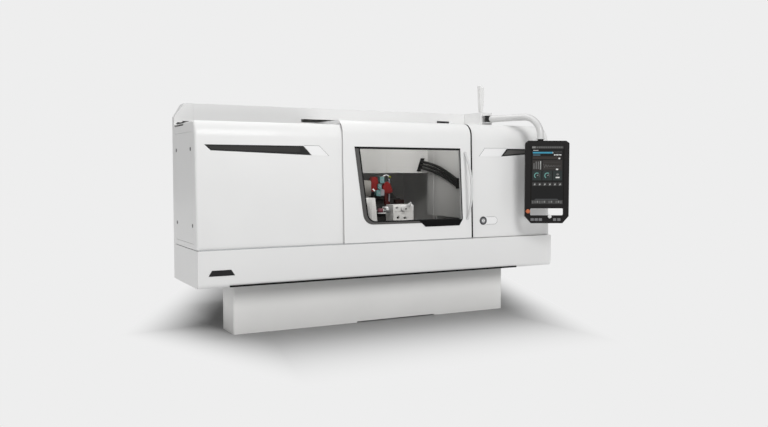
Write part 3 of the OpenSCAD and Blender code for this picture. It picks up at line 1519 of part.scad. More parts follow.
// Wheel guard: a drum round the wheel, open to the front
module wheel_guard() {
  color([0.80, 0.81, 0.81]) difference() {
    translate([guard_x0, wheel_y, work_axis_z]) rotate([0, 90, 0]) cylinder(h = head_body_x0 - guard_x0, r = guard_r, $fn = 144);
    translate([guard_x0 + guard_t, wheel_y, work_axis_z]) rotate([0, 90, 0]) cylinder(h = head_body_x0 - guard_x0 - 2 * guard_t, r = guard_r - guard_t, $fn = 144);
    translate([guard_x0 - 1, wheel_y, work_axis_z]) rotate([0, 90, 0]) cylinder(h = guard_t + 2, d = 224, $fn = 96);
    translate([head_body_x0 - guard_t - 1, wheel_y, work_axis_z]) rotate([0, 90, 0]) cylinder(h = guard_t + 2, d = 90, $fn = 96);
    along_x(guard_x0 - 1, head_body_x0 + 1) polygon([
      [wheel_y - 90, cross_low - 100], [wheel_y - 90, work_axis_z + 40], [wheel_y - 150, work_axis_z + 170],
      [wheel_y - guard_r - 1, work_axis_z + 200], [wheel_y - guard_r - 1, cross_low - 100]
    ]);
    box([guard_x0 - 1, wheel_y - guard_r, 0], [head_body_x0 + 1, wheel_y + guard_r, cross_top + 30]);
  }
}

nozzle_d = 18;
nozzle_z = work_axis_z + 150;
nozzle_y = wheel_y - 178;
nozzle_xs = [304, 333];

// One jointed pipe that hangs from z, with ball joints and a tapered tip
module jointed_pipe(x, z) {
  neck = nozzle_d / 2 - 2;
  ball = nozzle_d / 2 + 2;
  translate([x, nozzle_y, z]) rotate_extrude($fn = 32) polygon(concat(
    [[0, 4], [neck, 4]],
    [for (k = [0:2], p = [[neck, 6], [ball, 11], [ball, 19], [neck, 24]]) [p[0], -p[1] - 26 * k]],
    [[ball, -82], [4, -108], [0, -108]]
  ));
}

// Coolant manifold on a bracket over the wheelhead, with two jointed pipes at the wheel's front
module coolant_nozzles() {
  color([0.75, 0.12, 0.10]) {
    box([150, wheel_y + 96, nozzle_z], [204, wheel_y + 150, nozzle_z + 26]);
    box([150, nozzle_y + 20, nozzle_z + 25], [204, wheel_y + 150, nozzle_z + 43]);
    along_y(nozzle_y - 30, nozzle_y + 24)
      polygon([
        [142, nozzle_z + 30], [176, nozzle_z + 22], [214, nozzle_z + 40], [219, nozzle_z + 120], [205, nozzle_z + 166],
        [160, nozzle_z + 170], [142, nozzle_z + 140]
      ]);
    box([200, nozzle_y - 10, nozzle_z + 60], [290, nozzle_y + 14, nozzle_z + 82]);
    along_y(nozzle_y - 32, nozzle_y + 26)
      polygon([
        [268, nozzle_z + 44], [284, nozzle_z + 92], [330, nozzle_z + 100], [354, nozzle_z + 72], [374, nozzle_z + 36],
        [368, nozzle_z + 14], [345, nozzle_z + 2], [290, nozzle_z + 6]
      ]);
    for (x = nozzle_xs) jointed_pipe(x, nozzle_z + 6);
  }
}

machine_bed();
levelling_pads();
skirt();
skirt_badge_plate();
left_cover();
left_service_panel();
left_stripe();
right_cover();
right_service_panel();
right_stripe();
label_plates();
lock_rosette();
pill_plate();
service_latches();
door_shell();
window_frame();
window_glass();
door_label_plate();
door_handle();
door_rail();
door_lower_rail();
door_guides();
rear_housing();
rear_end_cap();
rear_service_door();
cabin_back_wall();
cabin_right_wall();
electrical_cabinet();
cabinet_door();
mounting_plate();
main_switch();
arm_console();
signal_lamp();
arm_joint();
arm_tube();
control_panel();
screen();
emergency_stop();
override_knob();
panel_key_1();
panel_key_2();
panel_key_3();
panel_key_4();
panel_key_5();
long_slide();
table_screw();
swivel_table();
workhead();
work_spindle();
tailstock();
quill();
quill_lever();
cross_slide();
infeed_screw();
drive_motors();
wheelhead();
grinding_wheel();
wheel_guard();
coolant_nozzles();
hose_bundle();
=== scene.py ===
import json
import math
import bpy
from mathutils import Matrix, Vector


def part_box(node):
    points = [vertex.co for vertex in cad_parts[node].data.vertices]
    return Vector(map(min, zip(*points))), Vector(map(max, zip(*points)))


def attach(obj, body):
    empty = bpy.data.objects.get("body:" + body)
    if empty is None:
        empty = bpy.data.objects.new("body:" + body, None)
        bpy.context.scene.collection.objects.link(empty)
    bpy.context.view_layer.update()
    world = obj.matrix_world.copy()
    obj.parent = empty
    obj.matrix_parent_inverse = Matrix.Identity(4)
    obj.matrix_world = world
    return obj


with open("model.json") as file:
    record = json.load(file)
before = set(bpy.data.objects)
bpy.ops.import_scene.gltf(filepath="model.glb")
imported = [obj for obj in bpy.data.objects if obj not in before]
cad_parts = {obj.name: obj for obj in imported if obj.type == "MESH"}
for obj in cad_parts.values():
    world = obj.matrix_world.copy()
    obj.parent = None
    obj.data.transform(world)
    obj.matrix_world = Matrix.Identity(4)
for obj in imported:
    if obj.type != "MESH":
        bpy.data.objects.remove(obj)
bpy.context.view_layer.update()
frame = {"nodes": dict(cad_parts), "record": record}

# ------------------------------------------------------------------ sizes, in metres
TURN = math.radians(28)          # the control panel's turn to the left
FRONT_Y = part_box("skirt")[0][1]
LEFT_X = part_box("skirt")[0][0]
RIGHT_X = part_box("skirt")[1][0]
SEAM_Z = 0.725
COVER_LEAN = math.radians(1.55)
DOOR_LEAN = math.radians(1.9)
COVER_SET = 0.030
DOOR_SET = 0.009
MAST = Vector((1.4436, -1.2001, 1.246))
DOOR_X1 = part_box("door_shell")[1][0]
DOOR_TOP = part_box("door_shell")[1][2]
DOOR_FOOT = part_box("door_shell")[0][2]
DOOR_BROW = 0.120
JOINT_Y = -0.273
BAR_X = (-1.497, 1.330)
SKIRT_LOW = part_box("skirt")[0][2]
# Local x, y, z are the machine's y, z, x in SIDE and its x, z, -y in FRONT
SIDE = Matrix(((0, 0, 1, 0), (1, 0, 0, 0), (0, 1, 0, 0), (0, 0, 0, 1)))
FRONT = Matrix(((1, 0, 0, 0), (0, 0, -1, 0), (0, 1, 0, 0), (0, 0, 0, 1)))
PANEL_SIDE = 0.060               # panel's middle, to the right of the mast
PANEL_AHEAD = 0.029              # panel's front, ahead of the mast
PANEL_MIDDLE = MAST + Vector((
    PANEL_SIDE * math.cos(TURN) - PANEL_AHEAD * math.sin(TURN),
    -PANEL_SIDE * math.sin(TURN) - PANEL_AHEAD * math.cos(TURN),
    0))
# The floor passes into the backdrop along each direction, from start to end
FLOOR_FADES = (
    ((1, -0.42, 0), 1.6, 2.3), ((-1, 0.45, 0), 1.3, 2.1), ((-1, -0.35, 0), 1.5, 2.4),
    ((0, -1, 0), 1.0, 2.6), ((0, 1, 0), 1.4, 2.4))
BACKDROP = (0.855, 0.855, 0.855, 1)
BORDER = (0.0022, 0.0002, 0.0017, "plate_line")      # width, low, high and finish of a plate's border
LEVER_GAP = 0.0004               # between the quill lever and the tailstock's face
POCKET_DEEP = 0.0140             # pockets in the tailstock's face


# ------------------------------------------------------------------ camera, light, floor
def make_camera():
    data = bpy.data.cameras.new("camera")
    data.lens = 36.73
    data.sensor_width = 36
    data.clip_start = 0.05
    data.clip_end = 200
    cam = bpy.data.objects.new("camera", data)
    cam.location = (-3.3108, -7.0292, 1.346)
    cam.rotation_euler = (math.radians(90 - 3.077), 0, math.radians(-27.945))
    bpy.context.scene.collection.objects.link(cam)
    bpy.context.scene.camera = cam


def add_area(name, place, target, size, power, size_y=None):
    data = bpy.data.lights.new(name, "AREA")
    data.shape = "RECTANGLE"
    data.size = size
    data.size_y = size_y or size
    data.energy = power
    lamp = bpy.data.objects.new(name, data)
    lamp.location = place
    aim = Vector(target) - Vector(place)
    lamp.rotation_euler = aim.to_track_quat("-Z", "Y").to_euler()
    bpy.context.scene.collection.objects.link(lamp)
    return lamp


def make_world():
    world = bpy.data.worlds.new("studio")
    bpy.context.scene.world = world
    world.use_nodes = True
    nodes, links = world.node_tree.nodes, world.node_tree.links
    nodes.clear()
    out = nodes.new("ShaderNodeOutputWorld")
    mix = nodes.new("ShaderNodeMixShader")
    path = nodes.new("ShaderNodeLightPath")
    seen = nodes.new("ShaderNodeBackground")
    seen.inputs["Color"].default_value = BACKDROP
    fill = nodes.new("ShaderNodeBackground")
    fill.inputs["Color"].default_value = (1, 1, 1, 1)
    fill.inputs["Strength"].default_value = 0.32
    add = nodes.new("ShaderNodeMath")
    add.operation = "MAXIMUM"
    links.new(path.outputs["Is Camera Ray"], add.inputs[0])
    links.new(path.outputs["Is Transmission Ray"], add.inputs[1])
    links.new(add.outputs[0], mix.inputs[0])
    links.new(fill.outputs[0], mix.inputs[1])
    links.new(seen.outputs[0], mix.inputs[2])
    links.new(mix.outputs[0], out.inputs["Surface"])


def make_lights():
    add_area("key", (0.2, -7.2, 4.4), (0.0, -1.0, 0.9), 2.4, 218, 3.0)
    add_area("top", (-0.8, 0.5, 6.0), (0, 0.2, 0), 7.0, 222, 5.0)
    add_area("left_fill", (-8.0, -2.5, 3.0), (-1, 0, 1.0), 4.0, 25, 3.0)
    add_area("cabin_light", (0.25, -0.86, 1.66), (0.3, -0.1, 1.15), 1.0, 4.8, 0.08)


def make_floor():
    size = 30.0
    bpy.ops.mesh.primitive_circle_add(vertices=96, radius=size, fill_type="NGON", location=(0, 0, -0.0005))
    floor = bpy.context.object
    floor.name = "floor"
    m = bpy.data.materials.new("floor")
    m.use_nodes = True
    nodes, links = m.node_tree.nodes, m.node_tree.links
    nodes.clear()
    out = nodes.new("ShaderNodeOutputMaterial")
    mix = nodes.new("ShaderNodeMixShader")
    near = nodes.new("ShaderNodeBsdfDiffuse")
    # Painted shadow: the floor's near colour is darker close to the machine's front, from y -0.8 out to -2.4
    painted_floor_shadow = nodes.new("ShaderNodeMapRange")
    painted_floor_shadow.interpolation_type = "SMOOTHSTEP"
    painted_floor_shadow.inputs["From Min"].default_value = -0.8
    painted_floor_shadow.inputs["From Max"].default_value = -2.4
    painted_floor_shadow.inputs["To Min"].default_value = 0.36
    painted_floor_shadow.inputs["To Max"].default_value = 0.56
    far = nodes.new("ShaderNodeEmission")
    far.inputs["Color"].default_value = BACKDROP
    coords = nodes.new("ShaderNodeTexCoord")
    split = nodes.new("ShaderNodeSeparateXYZ")
    links.new(coords.outputs["Object"], split.inputs[0])
    links.new(split.outputs["Y"], painted_floor_shadow.inputs["Value"])
    links.new(painted_floor_shadow.outputs[0], near.inputs["Color"])
    fades = []
    for direction, start, end in FLOOR_FADES:
        way = nodes.new("ShaderNodeVectorMath")
        way.operation = "DOT_PRODUCT"
        way.inputs[1].default_value = direction
        links.new(coords.outputs["Object"], way.inputs[0])
        fade = nodes.new("ShaderNodeMapRange")
        fade.interpolation_type = "SMOOTHSTEP"
        fade.inputs["From Min"].default_value = start
        fade.inputs["From Max"].default_value = end
        links.new(way.outputs["Value"], fade.inputs["Value"])
        fades.append(fade.outputs[0])
    most = fades[0]
    for other in fades[1:]:
        pick = nodes.new("ShaderNodeMath")
        pick.operation = "MAXIMUM"
        links.new(most, pick.inputs[0])
        links.new(other, pick.inputs[1])
        most = pick.outputs[0]
    links.new(most, mix.inputs[0])
    links.new(near.outputs[0], mix.inputs[1])
    links.new(far.outputs[0], mix.inputs[2])
    links.new(mix.outputs[0], out.inputs["Surface"])
    floor.data.materials.append(m)


# ------------------------------------------------------------------ materials
def new_material(name):
    m = bpy.data.materials.new(name)
    m.use_nodes = True
    nodes = m.node_tree.nodes
    return m, nodes, m.node_tree.links, nodes["Principled BSDF"]


def shade(rgb, k):
    return tuple(min(1.0, c * k) for c in rgb) + (1,)


def surface(name, rgb, rough, metal=0.0, spread=0.03, grain=900.0, bump=0.05, depth=0.0004, coat=0.0,
            stretch=(1, 1, 1), edge=0.0012, shine=0.5, fade=None):
    """A finish with slight colour drift, uneven gloss, a fine grain and softened edges.

    fade is (axis, start, end, colour): that colour at start passes into rgb at end; it paints shade into the
    colour."""
    m, nodes, links, bsdf = new_material(name)
    coords = nodes.new("ShaderNodeTexCoord")
    scale = nodes.new("ShaderNodeMapping")
    scale.inputs["Scale"].default_value = stretch
    links.new(coords.outputs["Object"], scale.inputs["Vector"])
    broad = nodes.new("ShaderNodeTexNoise")
    broad.inputs["Scale"].default_value = 2.2
    broad.inputs["Detail"].default_value = 4
    links.new(scale.outputs[0], broad.inputs["Vector"])
    ramp = nodes.new("ShaderNodeValToRGB")
    ramp.color_ramp.elements[0].position = 0.3
    ramp.color_ramp.elements[1].position = 0.7
    ramp.color_ramp.elements[0].color = shade(rgb, 1 - spread)
    ramp.color_ramp.elements[1].color = shade(rgb, 1 + spread)
    links.new(broad.outputs["Fac"], ramp.inputs[0])
    tint = ramp.outputs[0]
    if fade:
        axis, start, end, first = fade
        split = nodes.new("ShaderNodeSeparateXYZ")
        links.new(coords.outputs["Object"], split.inputs[0])
        along = nodes.new("ShaderNodeMapRange")
        along.interpolation_type = "SMOOTHSTEP"
        along.inputs["From Min"].default_value = start
        along.inputs["From Max"].default_value = end
        links.new(split.outputs[axis], along.inputs["Value"])
        blend = nodes.new("ShaderNodeMixRGB")
        blend.inputs["Color1"].default_value = (*first, 1)
        links.new(along.outputs[0], blend.inputs["Fac"])
        links.new(tint, blend.inputs["Color2"])
        tint = blend.outputs[0]
    links.new(tint, bsdf.inputs["Base Color"])
    fine = nodes.new("ShaderNodeTexNoise")
    fine.inputs["Scale"].default_value = grain
    fine.inputs["Detail"].default_value = 2
    links.new(scale.outputs[0], fine.inputs["Vector"])
    gloss = nodes.new("ShaderNodeMapRange")
    gloss.inputs["To Min"].default_value = max(0.02, rough - 0.05)
    gloss.inputs["To Max"].default_value = min(1.0, rough + 0.05)
    links.new(broad.outputs["Fac"], gloss.inputs["Value"])
    links.new(gloss.outputs[0], bsdf.inputs["Roughness"])
    relief = nodes.new("ShaderNodeBump")
    relief.inputs["Strength"].default_value = bump
    relief.inputs["Distance"].default_value = depth
    links.new(fine.outputs["Fac"], relief.inputs["Height"])
    if edge:
        soft = nodes.new("ShaderNodeBevel")
        soft.samples = 4
        soft.inputs["Radius"].default_value = edge
        links.new(soft.outputs[0], relief.inputs["Normal"])
    links.new(relief.outputs[0], bsdf.inputs["Normal"])
    bsdf.inputs["Metallic"].default_value = metal
    bsdf.inputs["Coat Weight"].default_value = coat
    bsdf.inputs["Specular IOR Level"].default_value = shine
    return m


def steel(name, rgb, rough, turned="x"):
    """Ground or turned bright metal with fine lines along one axis."""
    stretch = {"x": (8, 900, 900), "y": (900, 8, 900), "z": (900, 900, 8)}[turned]
    return surface(name, rgb, rough, metal=1.0, spread=0.06, grain=1.0, bump=0.25, depth=0.00015,
                   stretch=stretch)


def glass(name, rgb, alpha_mix):
    """Clear pane: mostly see-through with a plain gloss."""
    m, nodes, links, bsdf = new_material(name)
    out = nodes["Material Output"]
    clear = nodes.new("ShaderNodeBsdfTransparent")
    clear.inputs["Color"].default_value = (*rgb, 1)
    mix = nodes.new("ShaderNodeMixShader")
    rim = nodes.new("ShaderNodeFresnel")
    rim.inputs["IOR"].default_value = 1.45
    boost = nodes.new("ShaderNodeMath")
    boost.operation = "MULTIPLY_ADD"
    boost.inputs[1].default_value = 0.5
    boost.inputs[2].default_value = alpha_mix
    links.new(rim.outputs[0], boost.inputs[0])
    links.new(boost.outputs[0], mix.inputs[0])
    links.new(clear.outputs[0], mix.inputs[1])
    links.new(bsdf.outputs[0], mix.inputs[2])
    links.new(mix.outputs[0], out.inputs["Surface"])
    bsdf.inputs["Base Color"].default_value = (0.01, 0.01, 0.01, 1)
    bsdf.inputs["Roughness"].default_value = 0.04
    return m


def lit(name, rgb, strength=1.0, drift=0.06):
    """Glowing area of the display with a slight unevenness."""
    m, nodes, links, bsdf = new_material(name)
    coords = nodes.new("ShaderNodeTexCoord")
    noise = nodes.new("ShaderNodeTexNoise")
    noise.inputs["Scale"].default_value = 60
    ramp = nodes.new("ShaderNodeValToRGB")
    ramp.color_ramp.elements[0].position = 0.3
    ramp.color_ramp.elements[1].position = 0.7
    ramp.color_ramp.elements[0].color = shade(rgb, 1 - drift)
    ramp.color_ramp.elements[1].color = shade(rgb, 1 + drift)
    links.new(coords.outputs["Object"], noise.inputs["Vector"])
    links.new(noise.outputs["Fac"], ramp.inputs[0])
    links.new(ramp.outputs[0], bsdf.inputs["Emission Color"])
    bsdf.inputs["Emission Strength"].default_value = strength
    bsdf.inputs["Specular IOR Level"].default_value = 0.12
    bsdf.inputs["Base Color"].default_value = (0.01, 0.01, 0.01, 1)
    bsdf.inputs["Roughness"].default_value = 0.25
    return m


# The right cabin wall is dressed in cabin_side, a darker copy of the cabin paint: painted shade on that wall
OWN_FINISH = {"cabin_right_wall": "cabin_side"}      # nodes dressed apart from their slot

UI_COLOURS = {
    "ui_black": (0.006, 0.006, 0.006), "ui_bar": (0.045, 0.044, 0.043), "ui_tile": (0.11, 0.11, 0.108),
    "ui_tile_light": (0.20, 0.20, 0.195), "ui_text": (0.66, 0.66, 0.65), "ui_text_dim": (0.38, 0.39, 0.38),
    "ui_blue": (0.045, 0.27, 0.40), "ui_grey": (0.17, 0.17, 0.168), "ui_slate": (0.08, 0.14, 0.17),
    "ui_slate_dark": (0.055, 0.058, 0.060), "ui_brown": (0.034, 0.027, 0.024),
    "ui_pane": (0.030, 0.026, 0.024),
    "ui_line": (0.075, 0.075, 0.073), "ui_green_pane": (0.022, 0.030, 0.029), "ui_green": (0.17, 0.42, 0.38),
}


def make_finishes():
    """One finish per record slot, plus the finishes of the added pieces."""
    f = {}

    def paint(name, *args, **options):
        f[name] = surface(name, *args, **options)

    def bright(name, *args):
        f[name] = steel(name, *args)

    paint("white_paint", (0.80, 0.80, 0.795), 0.38, spread=0.012, bump=0.06, coat=0.1)
    paint("end_paint", (0.79, 0.79, 0.785), 0.40, spread=0.012, bump=0.06, coat=0.1)
    # bed_paint is darker towards its top, from z 0.20 up to 0.43: painted shade under the skirt's overhang
    paint("bed_paint", (0.88, 0.875, 0.86), 0.45, spread=0.02, grain=260, bump=0.18, depth=0.0008,
          fade=("Z", 0.43, 0.20, (0.56, 0.56, 0.555)))
    paint("pad_iron", (0.05, 0.05, 0.052), 0.6, metal=0.6, spread=0.2, bump=0.3)
    paint("black_trim", (0.012, 0.012, 0.012), 0.35, spread=0.15, bump=0.05, shine=0.25)
    paint("insert_grey", (0.020, 0.019, 0.018), 0.5, spread=0.1, bump=0.1, shine=0.3)
    paint("insert_light", (0.095, 0.092, 0.088), 0.5, spread=0.1, bump=0.1, shine=0.3)
    paint("plate_white", (0.86, 0.86, 0.86), 0.3, spread=0.01, bump=0.02)
    paint("plate_line", (0.10, 0.10, 0.105), 0.4, spread=0.1)
    paint("lock_dark", (0.055, 0.055, 0.06), 0.4, spread=0.15)
    paint("latch_steel", (0.16, 0.16, 0.165), 0.38, metal=0.8, spread=0.1)
    paint("frame_grey", (0.082, 0.080, 0.078), 0.5, spread=0.06, bump=0.08, shine=0.3)
    f["pane"] = glass("pane", (0.95, 0.945, 0.935), 0.0)
    paint("black_gloss", (0.004, 0.004, 0.004), 0.22, spread=0.1, shine=0.12)
    paint("handle_metal", (0.64, 0.64, 0.64), 0.34, spread=0.02, coat=0.2)
    paint("rail_black", (0.012, 0.012, 0.013), 0.5, spread=0.2)
    bright("guide_steel", (0.52, 0.53, 0.54), 0.35)
    # cabin_paint is darker towards x 0.15: painted shade in the left of the recess behind the window
    paint("cabin_paint", (0.84, 0.84, 0.83), 0.42, spread=0.02, bump=0.06,
          fade=("X", 0.15, 0.75, (0.58, 0.58, 0.57)))
    # cabin_side is a darker copy of cabin_paint, lighter towards the back: painted shade on the right cabin
    # wall
    paint("cabin_side", (0.46, 0.46, 0.455), 0.42, spread=0.02, bump=0.06,
          fade=("Y", -0.30, -0.75, (0.72, 0.72, 0.71)))
    paint("cabinet_inside", (0.10, 0.098, 0.096), 0.5, spread=0.06, shine=0.3)
    paint("switch_red", (0.55, 0.02, 0.02), 0.3, spread=0.05, coat=0.3)
    paint("lamp_white", (0.80, 0.80, 0.79), 0.35, spread=0.02, coat=0.2)
    paint("joint_black", (0.010, 0.010, 0.010), 0.42, spread=0.15, shine=0.3)
    paint("tube_paint", (0.63, 0.63, 0.625), 0.35, spread=0.01, coat=0.2)
    paint("panel_black", (0.010, 0.009, 0.009), 0.42, spread=0.12, bump=0.08, shine=0.16)
    paint("screen_glass", (0.010, 0.009, 0.008), 0.25, spread=0.05, shine=0.12)
    paint("stop_red", (0.50, 0.12, 0.035), 0.28, spread=0.05, coat=0.4)
    paint("knob_grey", (0.70, 0.70, 0.70), 0.35, spread=0.03)
    paint("key_grey", (0.16, 0.16, 0.165), 0.42, spread=0.08)
    bright("machined_iron", (0.40, 0.41, 0.42), 0.38)
    bright("ground_steel", (0.58, 0.59, 0.60), 0.28)
    paint("head_paint", (0.76, 0.76, 0.755), 0.40, spread=0.02, bump=0.08)
    paint("lever_steel", (0.70, 0.70, 0.71), 0.32, spread=0.03, coat=0.2)
    paint("motor_black", (0.015, 0.015, 0.016), 0.5, spread=0.1)
    paint("wheelhead_paint", (0.035, 0.034, 0.033), 0.45, spread=0.05, bump=0.1, shine=0.3)
    paint("abrasive", (0.60, 0.585, 0.55), 0.9, spread=0.08, grain=1400, bump=0.8, depth=0.0012)
    paint("guard_paint", (0.60, 0.61, 0.61), 0.42, spread=0.03)
    # nozzle_red is darker below z 1.19: painted shade on the lower jet block and pipe
    paint("nozzle_red", (0.19, 0.009, 0.008), 0.42, spread=0.2, shine=0.3,
          fade=("Z", 1.10, 1.19, (0.05, 0.005, 0.005)))
    paint("nozzle_teal", (0.12, 0.24, 0.24), 0.42, spread=0.15, shine=0.4)
    # visor_steel is darker towards the bottom: painted shade on the wheel visor
    paint("visor_steel", (0.30, 0.29, 0.27), 0.45, spread=0.1, fade=("Z", 1.11, 1.24, (0.07, 0.065, 0.06)))
    paint("hose_lime", (0.45, 0.50, 0.05), 0.4, spread=0.1)
    paint("fitting_grey", (0.28, 0.28, 0.31), 0.4, metal=0.3, spread=0.15)
    paint("gauge_brown", (0.016, 0.006, 0.005), 0.5, spread=0.2, shine=0.2)
    paint("gasket_grey", (0.24, 0.24, 0.235), 0.5, spread=0.05)
    paint("jaw_pink", (0.20, 0.06, 0.08), 0.4, spread=0.2)
    paint("rubber", (0.006, 0.006, 0.006), 0.6, spread=0.2, bump=0.2, shine=0.15)
    paint("latch_bright", (0.33, 0.33, 0.34), 0.35, metal=0.8, spread=0.05)
    for name, rgb in UI_COLOURS.items():
        f[name] = lit(name, rgb)
    paint("hose_black", (0.010, 0.010, 0.010), 0.5, spread=0.2, grain=300, bump=0.3, shine=0.4)
    return f


# ------------------------------------------------------------------ shapes
class Shape:
    """Collects prisms, tubes and turned forms into one mesh, each with its own finish."""

    def __init__(self, name, place=None):
        self.name = name
        self.place = place or Matrix.Identity(4)
        self.verts, self.faces, self.marks, self.finishes = [], [], [], []

    def _mark(self, finish):
        if finish not in self.finishes:
            self.finishes.append(finish)
        return self.finishes.index(finish)

    def _add(self, verts, faces, finish):
        base, mark = len(self.verts), self._mark(finish)
        self.verts += [self.place @ Vector(v) for v in verts]
        self.faces += [[base + i for i in f] for f in faces]
        self.marks += [mark] * len(faces)

    def prism(self, outline, low, high, finish):
        """Outline (x, y) raised from low to high along z."""
        n = len(outline)
        following = list(outline[1:]) + list(outline[:1])
        area = sum(a[0] * b[1] - b[0] * a[1] for a, b in zip(outline, following))
        ring = list(outline) if area > 0 else list(outline)[::-1]
        verts = [(x, y, low) for x, y in ring] + [(x, y, high) for x, y in ring]
        sides = [[i, (i + 1) % n, n + (i + 1) % n, n + i] for i in range(n)]
        self._add(verts, [list(range(n))[::-1], list(range(n, 2 * n))] + sides, finish)

    def plate(self, x0, y0, x1, y1, low, high, finish):
        self.prism([(x0, y0), (x1, y0), (x1, y1), (x0, y1)], low, high, finish)

    def disc(self, x, y, r, low, high, finish, n=32, squeeze=1.0):
        turns = [2 * math.pi * i / n for i in range(n)]
        ring = [(x + r * math.cos(t), y + squeeze * r * math.sin(t)) for t in turns]
        self.prism(ring, low, high, finish)

    def band(self, path, width, low, high, finish):
        """Flat strip of that width centred on a path (x, y)."""
        left, right = [], []
        for i, p in enumerate(path):
            a, b = Vector(path[max(i - 1, 0)]), Vector(path[min(i + 1, len(path) - 1)])
            side = (b - a).normalized().orthogonal() * width / 2
            left.append((p[0] + side.x, p[1] + side.y))
            right.append((p[0] - side.x, p[1] - side.y))
        for i in range(len(path) - 1):
            self.prism([left[i], left[i + 1], right[i + 1], right[i]], low, high, finish)

    def tube(self, path, r, finish, n=12):
        points = [Vector(p) for p in path]
        verts, faces = [], []
        for i, p in enumerate(points):
            t = (points[min(i + 1, len(points) - 1)] - points[max(i - 1, 0)]).normalized()
            a = t.cross(Vector((0.13, 0.31, 0.94))).normalized()
            b = t.cross(a)
            radius = r[i] if isinstance(r, (list, tuple)) else r
            turns = [2 * math.pi * k / n for k in range(n)]
            verts += [p + radius * (a * math.cos(turn) + b * math.sin(turn)) for turn in turns]
        for i in range(len(points) - 1):
            near, far = i * n, (i + 1) * n
            faces += [[near + k, near + (k + 1) % n, far + (k + 1) % n, far + k] for k in range(n)]
        last = (len(points) - 1) * n
        self._add(verts, faces + [list(range(n))[::-1], [last + k for k in range(n)]], finish)

    def ride(self, body, smooth=False):
        mesh = bpy.data.meshes.new(self.name)
        mesh.from_pydata([tuple(v) for v in self.verts], [], self.faces)
        for finish in self.finishes:
            mesh.materials.append(FINISH[finish])
        for face, mark in zip(mesh.polygons, self.marks):
            face.material_index = mark
            face.use_smooth = smooth and len(face.vertices) == 4
        o = bpy.data.objects.new(self.name, mesh)
        bpy.context.scene.collection.objects.link(o)
        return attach(o, body)


def face_plane(setback, lean):
    """Plane of a leaning front: x along the machine, y up the face from the seam, z out of it."""
    up = Vector((0, math.sin(lean), math.cos(lean)))
    out = Vector((0, -math.cos(lean), math.sin(lean)))
    m = Matrix.Identity(4)
    for row in range(3):
        m[row][0], m[row][1], m[row][2] = (1.0 if row == 0 else 0.0), up[row], out[row]
    m.translation = Vector((0, FRONT_Y + setback, SEAM_Z))
    return m


def panel_plane():
    """Plane of the control panel's front: x to the right, y up, z out, origin at its middle."""
    c, s = math.cos(TURN), math.sin(TURN)
    m = Matrix(((c, 0, -s, 0), (-s, 0, -c, 0), (0, 1, 0, 0), (0, 0, 0, 1)))
    m.translation = PANEL_MIDDLE
    return m


# ------------------------------------------------------------------ control panel picture
def draw_screen():
    """The display's own picture: bars, panes, gauges and blank tiles, with no lettering."""
    d = Shape("screen_picture", panel_plane())
    base = -0.0003

    def tile(x0, y0, x1, y1, finish, lift=0.0004):
        d.plate(x0 / 1000, y0 / 1000, x1 / 1000, y1 / 1000, base, base + lift, finish)

    tile(-146, -198, 149, 330, "ui_black", 0.0003)
    tile(-146, 313, 151, 336, "ui_bar")
    tile(-143, 316, -110, 333, "ui_tile_light", 0.0007)
    for k in range(12):
        tile(-101 + 20.6 * k, 317, -86 + 20.6 * k, 332, "ui_tile", 0.0007)
    tile(-133, 294, -85, 298, "ui_text", 0.0007)
    tile(-136, 267, 50, 282, "ui_blue", 0.0007)
    tile(50, 267, 54, 282, "ui_text", 0.0007)
    for k in range(6):
        tile(66 + 12 * k, 279, 73 + 12 * k, 283, "ui_grey", 0.0007)
    tile(-133, 248, -66, 258, "ui_slate", 0.0007)
    for k in range(5):
        tile(62 + 14.5 * k, 248 + 1.5 * (k % 2), 72 + 14.5 * k, 260, "ui_text", 0.0007)
    tile(-136, 215, 130, 240, "ui_brown")
    d.disc(0.112, 0.221, 0.0095, base, base + 0.0009, "ui_text", 20, 0.75)
    tile(-138, 114, -52, 206, "ui_pane")
    tile(-44, 114, 140, 206, "ui_pane")
    for k, top in enumerate((176, 192, 192, 170)):
        tile(-128 + 20 * k, 122, -120 + 20 * k, top, "ui_grey", 0.0007)
    tile(-68, 118, -58, 196, "ui_text_dim", 0.0007)
    wave = [(-0.036 + 0.003 * k, 0.150 + 0.022 * math.exp(-k / 16) * math.cos(k * 0.8)) for k in range(56)]
    d.band(wave, 0.0022, base, base + 0.0007, "ui_grey")
    for y in (128, 185):
        tile(-36, y, 120, y + 1.5, "ui_line", 0.0007)
    d.disc(0.092, 0.119, 0.012, base, base + 0.0009, "ui_text", 20, 0.6)
    tile(-138, 109, 140, 111, "ui_line", 0.0007)
    for x0, x1 in ((-138, -54), (-44, 46), (54, 140)):
        tile(x0, 16, x1, 104, "ui_green_pane")
    for x in (-0.095, 0.0015):
        turns = [math.radians(a) for a in range(-120, -401, -14)]
        arc = [(x + 0.024 * math.cos(t), 0.061 + 0.024 * math.sin(t)) for t in turns]
        d.band(arc[:14], 0.006, base, base + 0.0009, "ui_green")
        d.band(arc[13:], 0.006, base, base + 0.0007, "ui_line")
        d.band([(x, 0.061), (x + 0.013, 0.067)], 0.004, base, base + 0.0009, "ui_text_dim")
    d.disc(0.098, 0.072, 0.013, base, base + 0.0007, "ui_grey", 20, 0.6)
    tile(80, 37, 116, 49, "ui_text", 0.0009)
    for k in range(6):
        x = -138 + 47.6 * k
        tile(x, -36, x + 40, -4, "ui_bar")
        symbol = [((x + 12) / 1000, -0.030), ((x + 29) / 1000, -0.026), ((x + 24) / 1000, -0.009)]
        d.prism(symbol, base, base + 0.0009, "ui_text_dim")
    ledge = [(-0.120, -0.168), (0.112, -0.168), (0.094, -0.157), (-0.104, -0.157)]
    d.prism(ledge, base, base + 0.0004, "ui_slate_dark")
    tile(-158 + 12, -206, 149, -169, "ui_bar")
    for k in range(13):
        if k not in (6, 9):
            shade_of_key = "ui_tile_light" if k % 3 == 2 else "ui_tile"
            tile(-140 + 22 * k, -200 + 3 * (k % 3), -126 + 22 * k, -176, shade_of_key, 0.0007)
    return d.ride("panel")


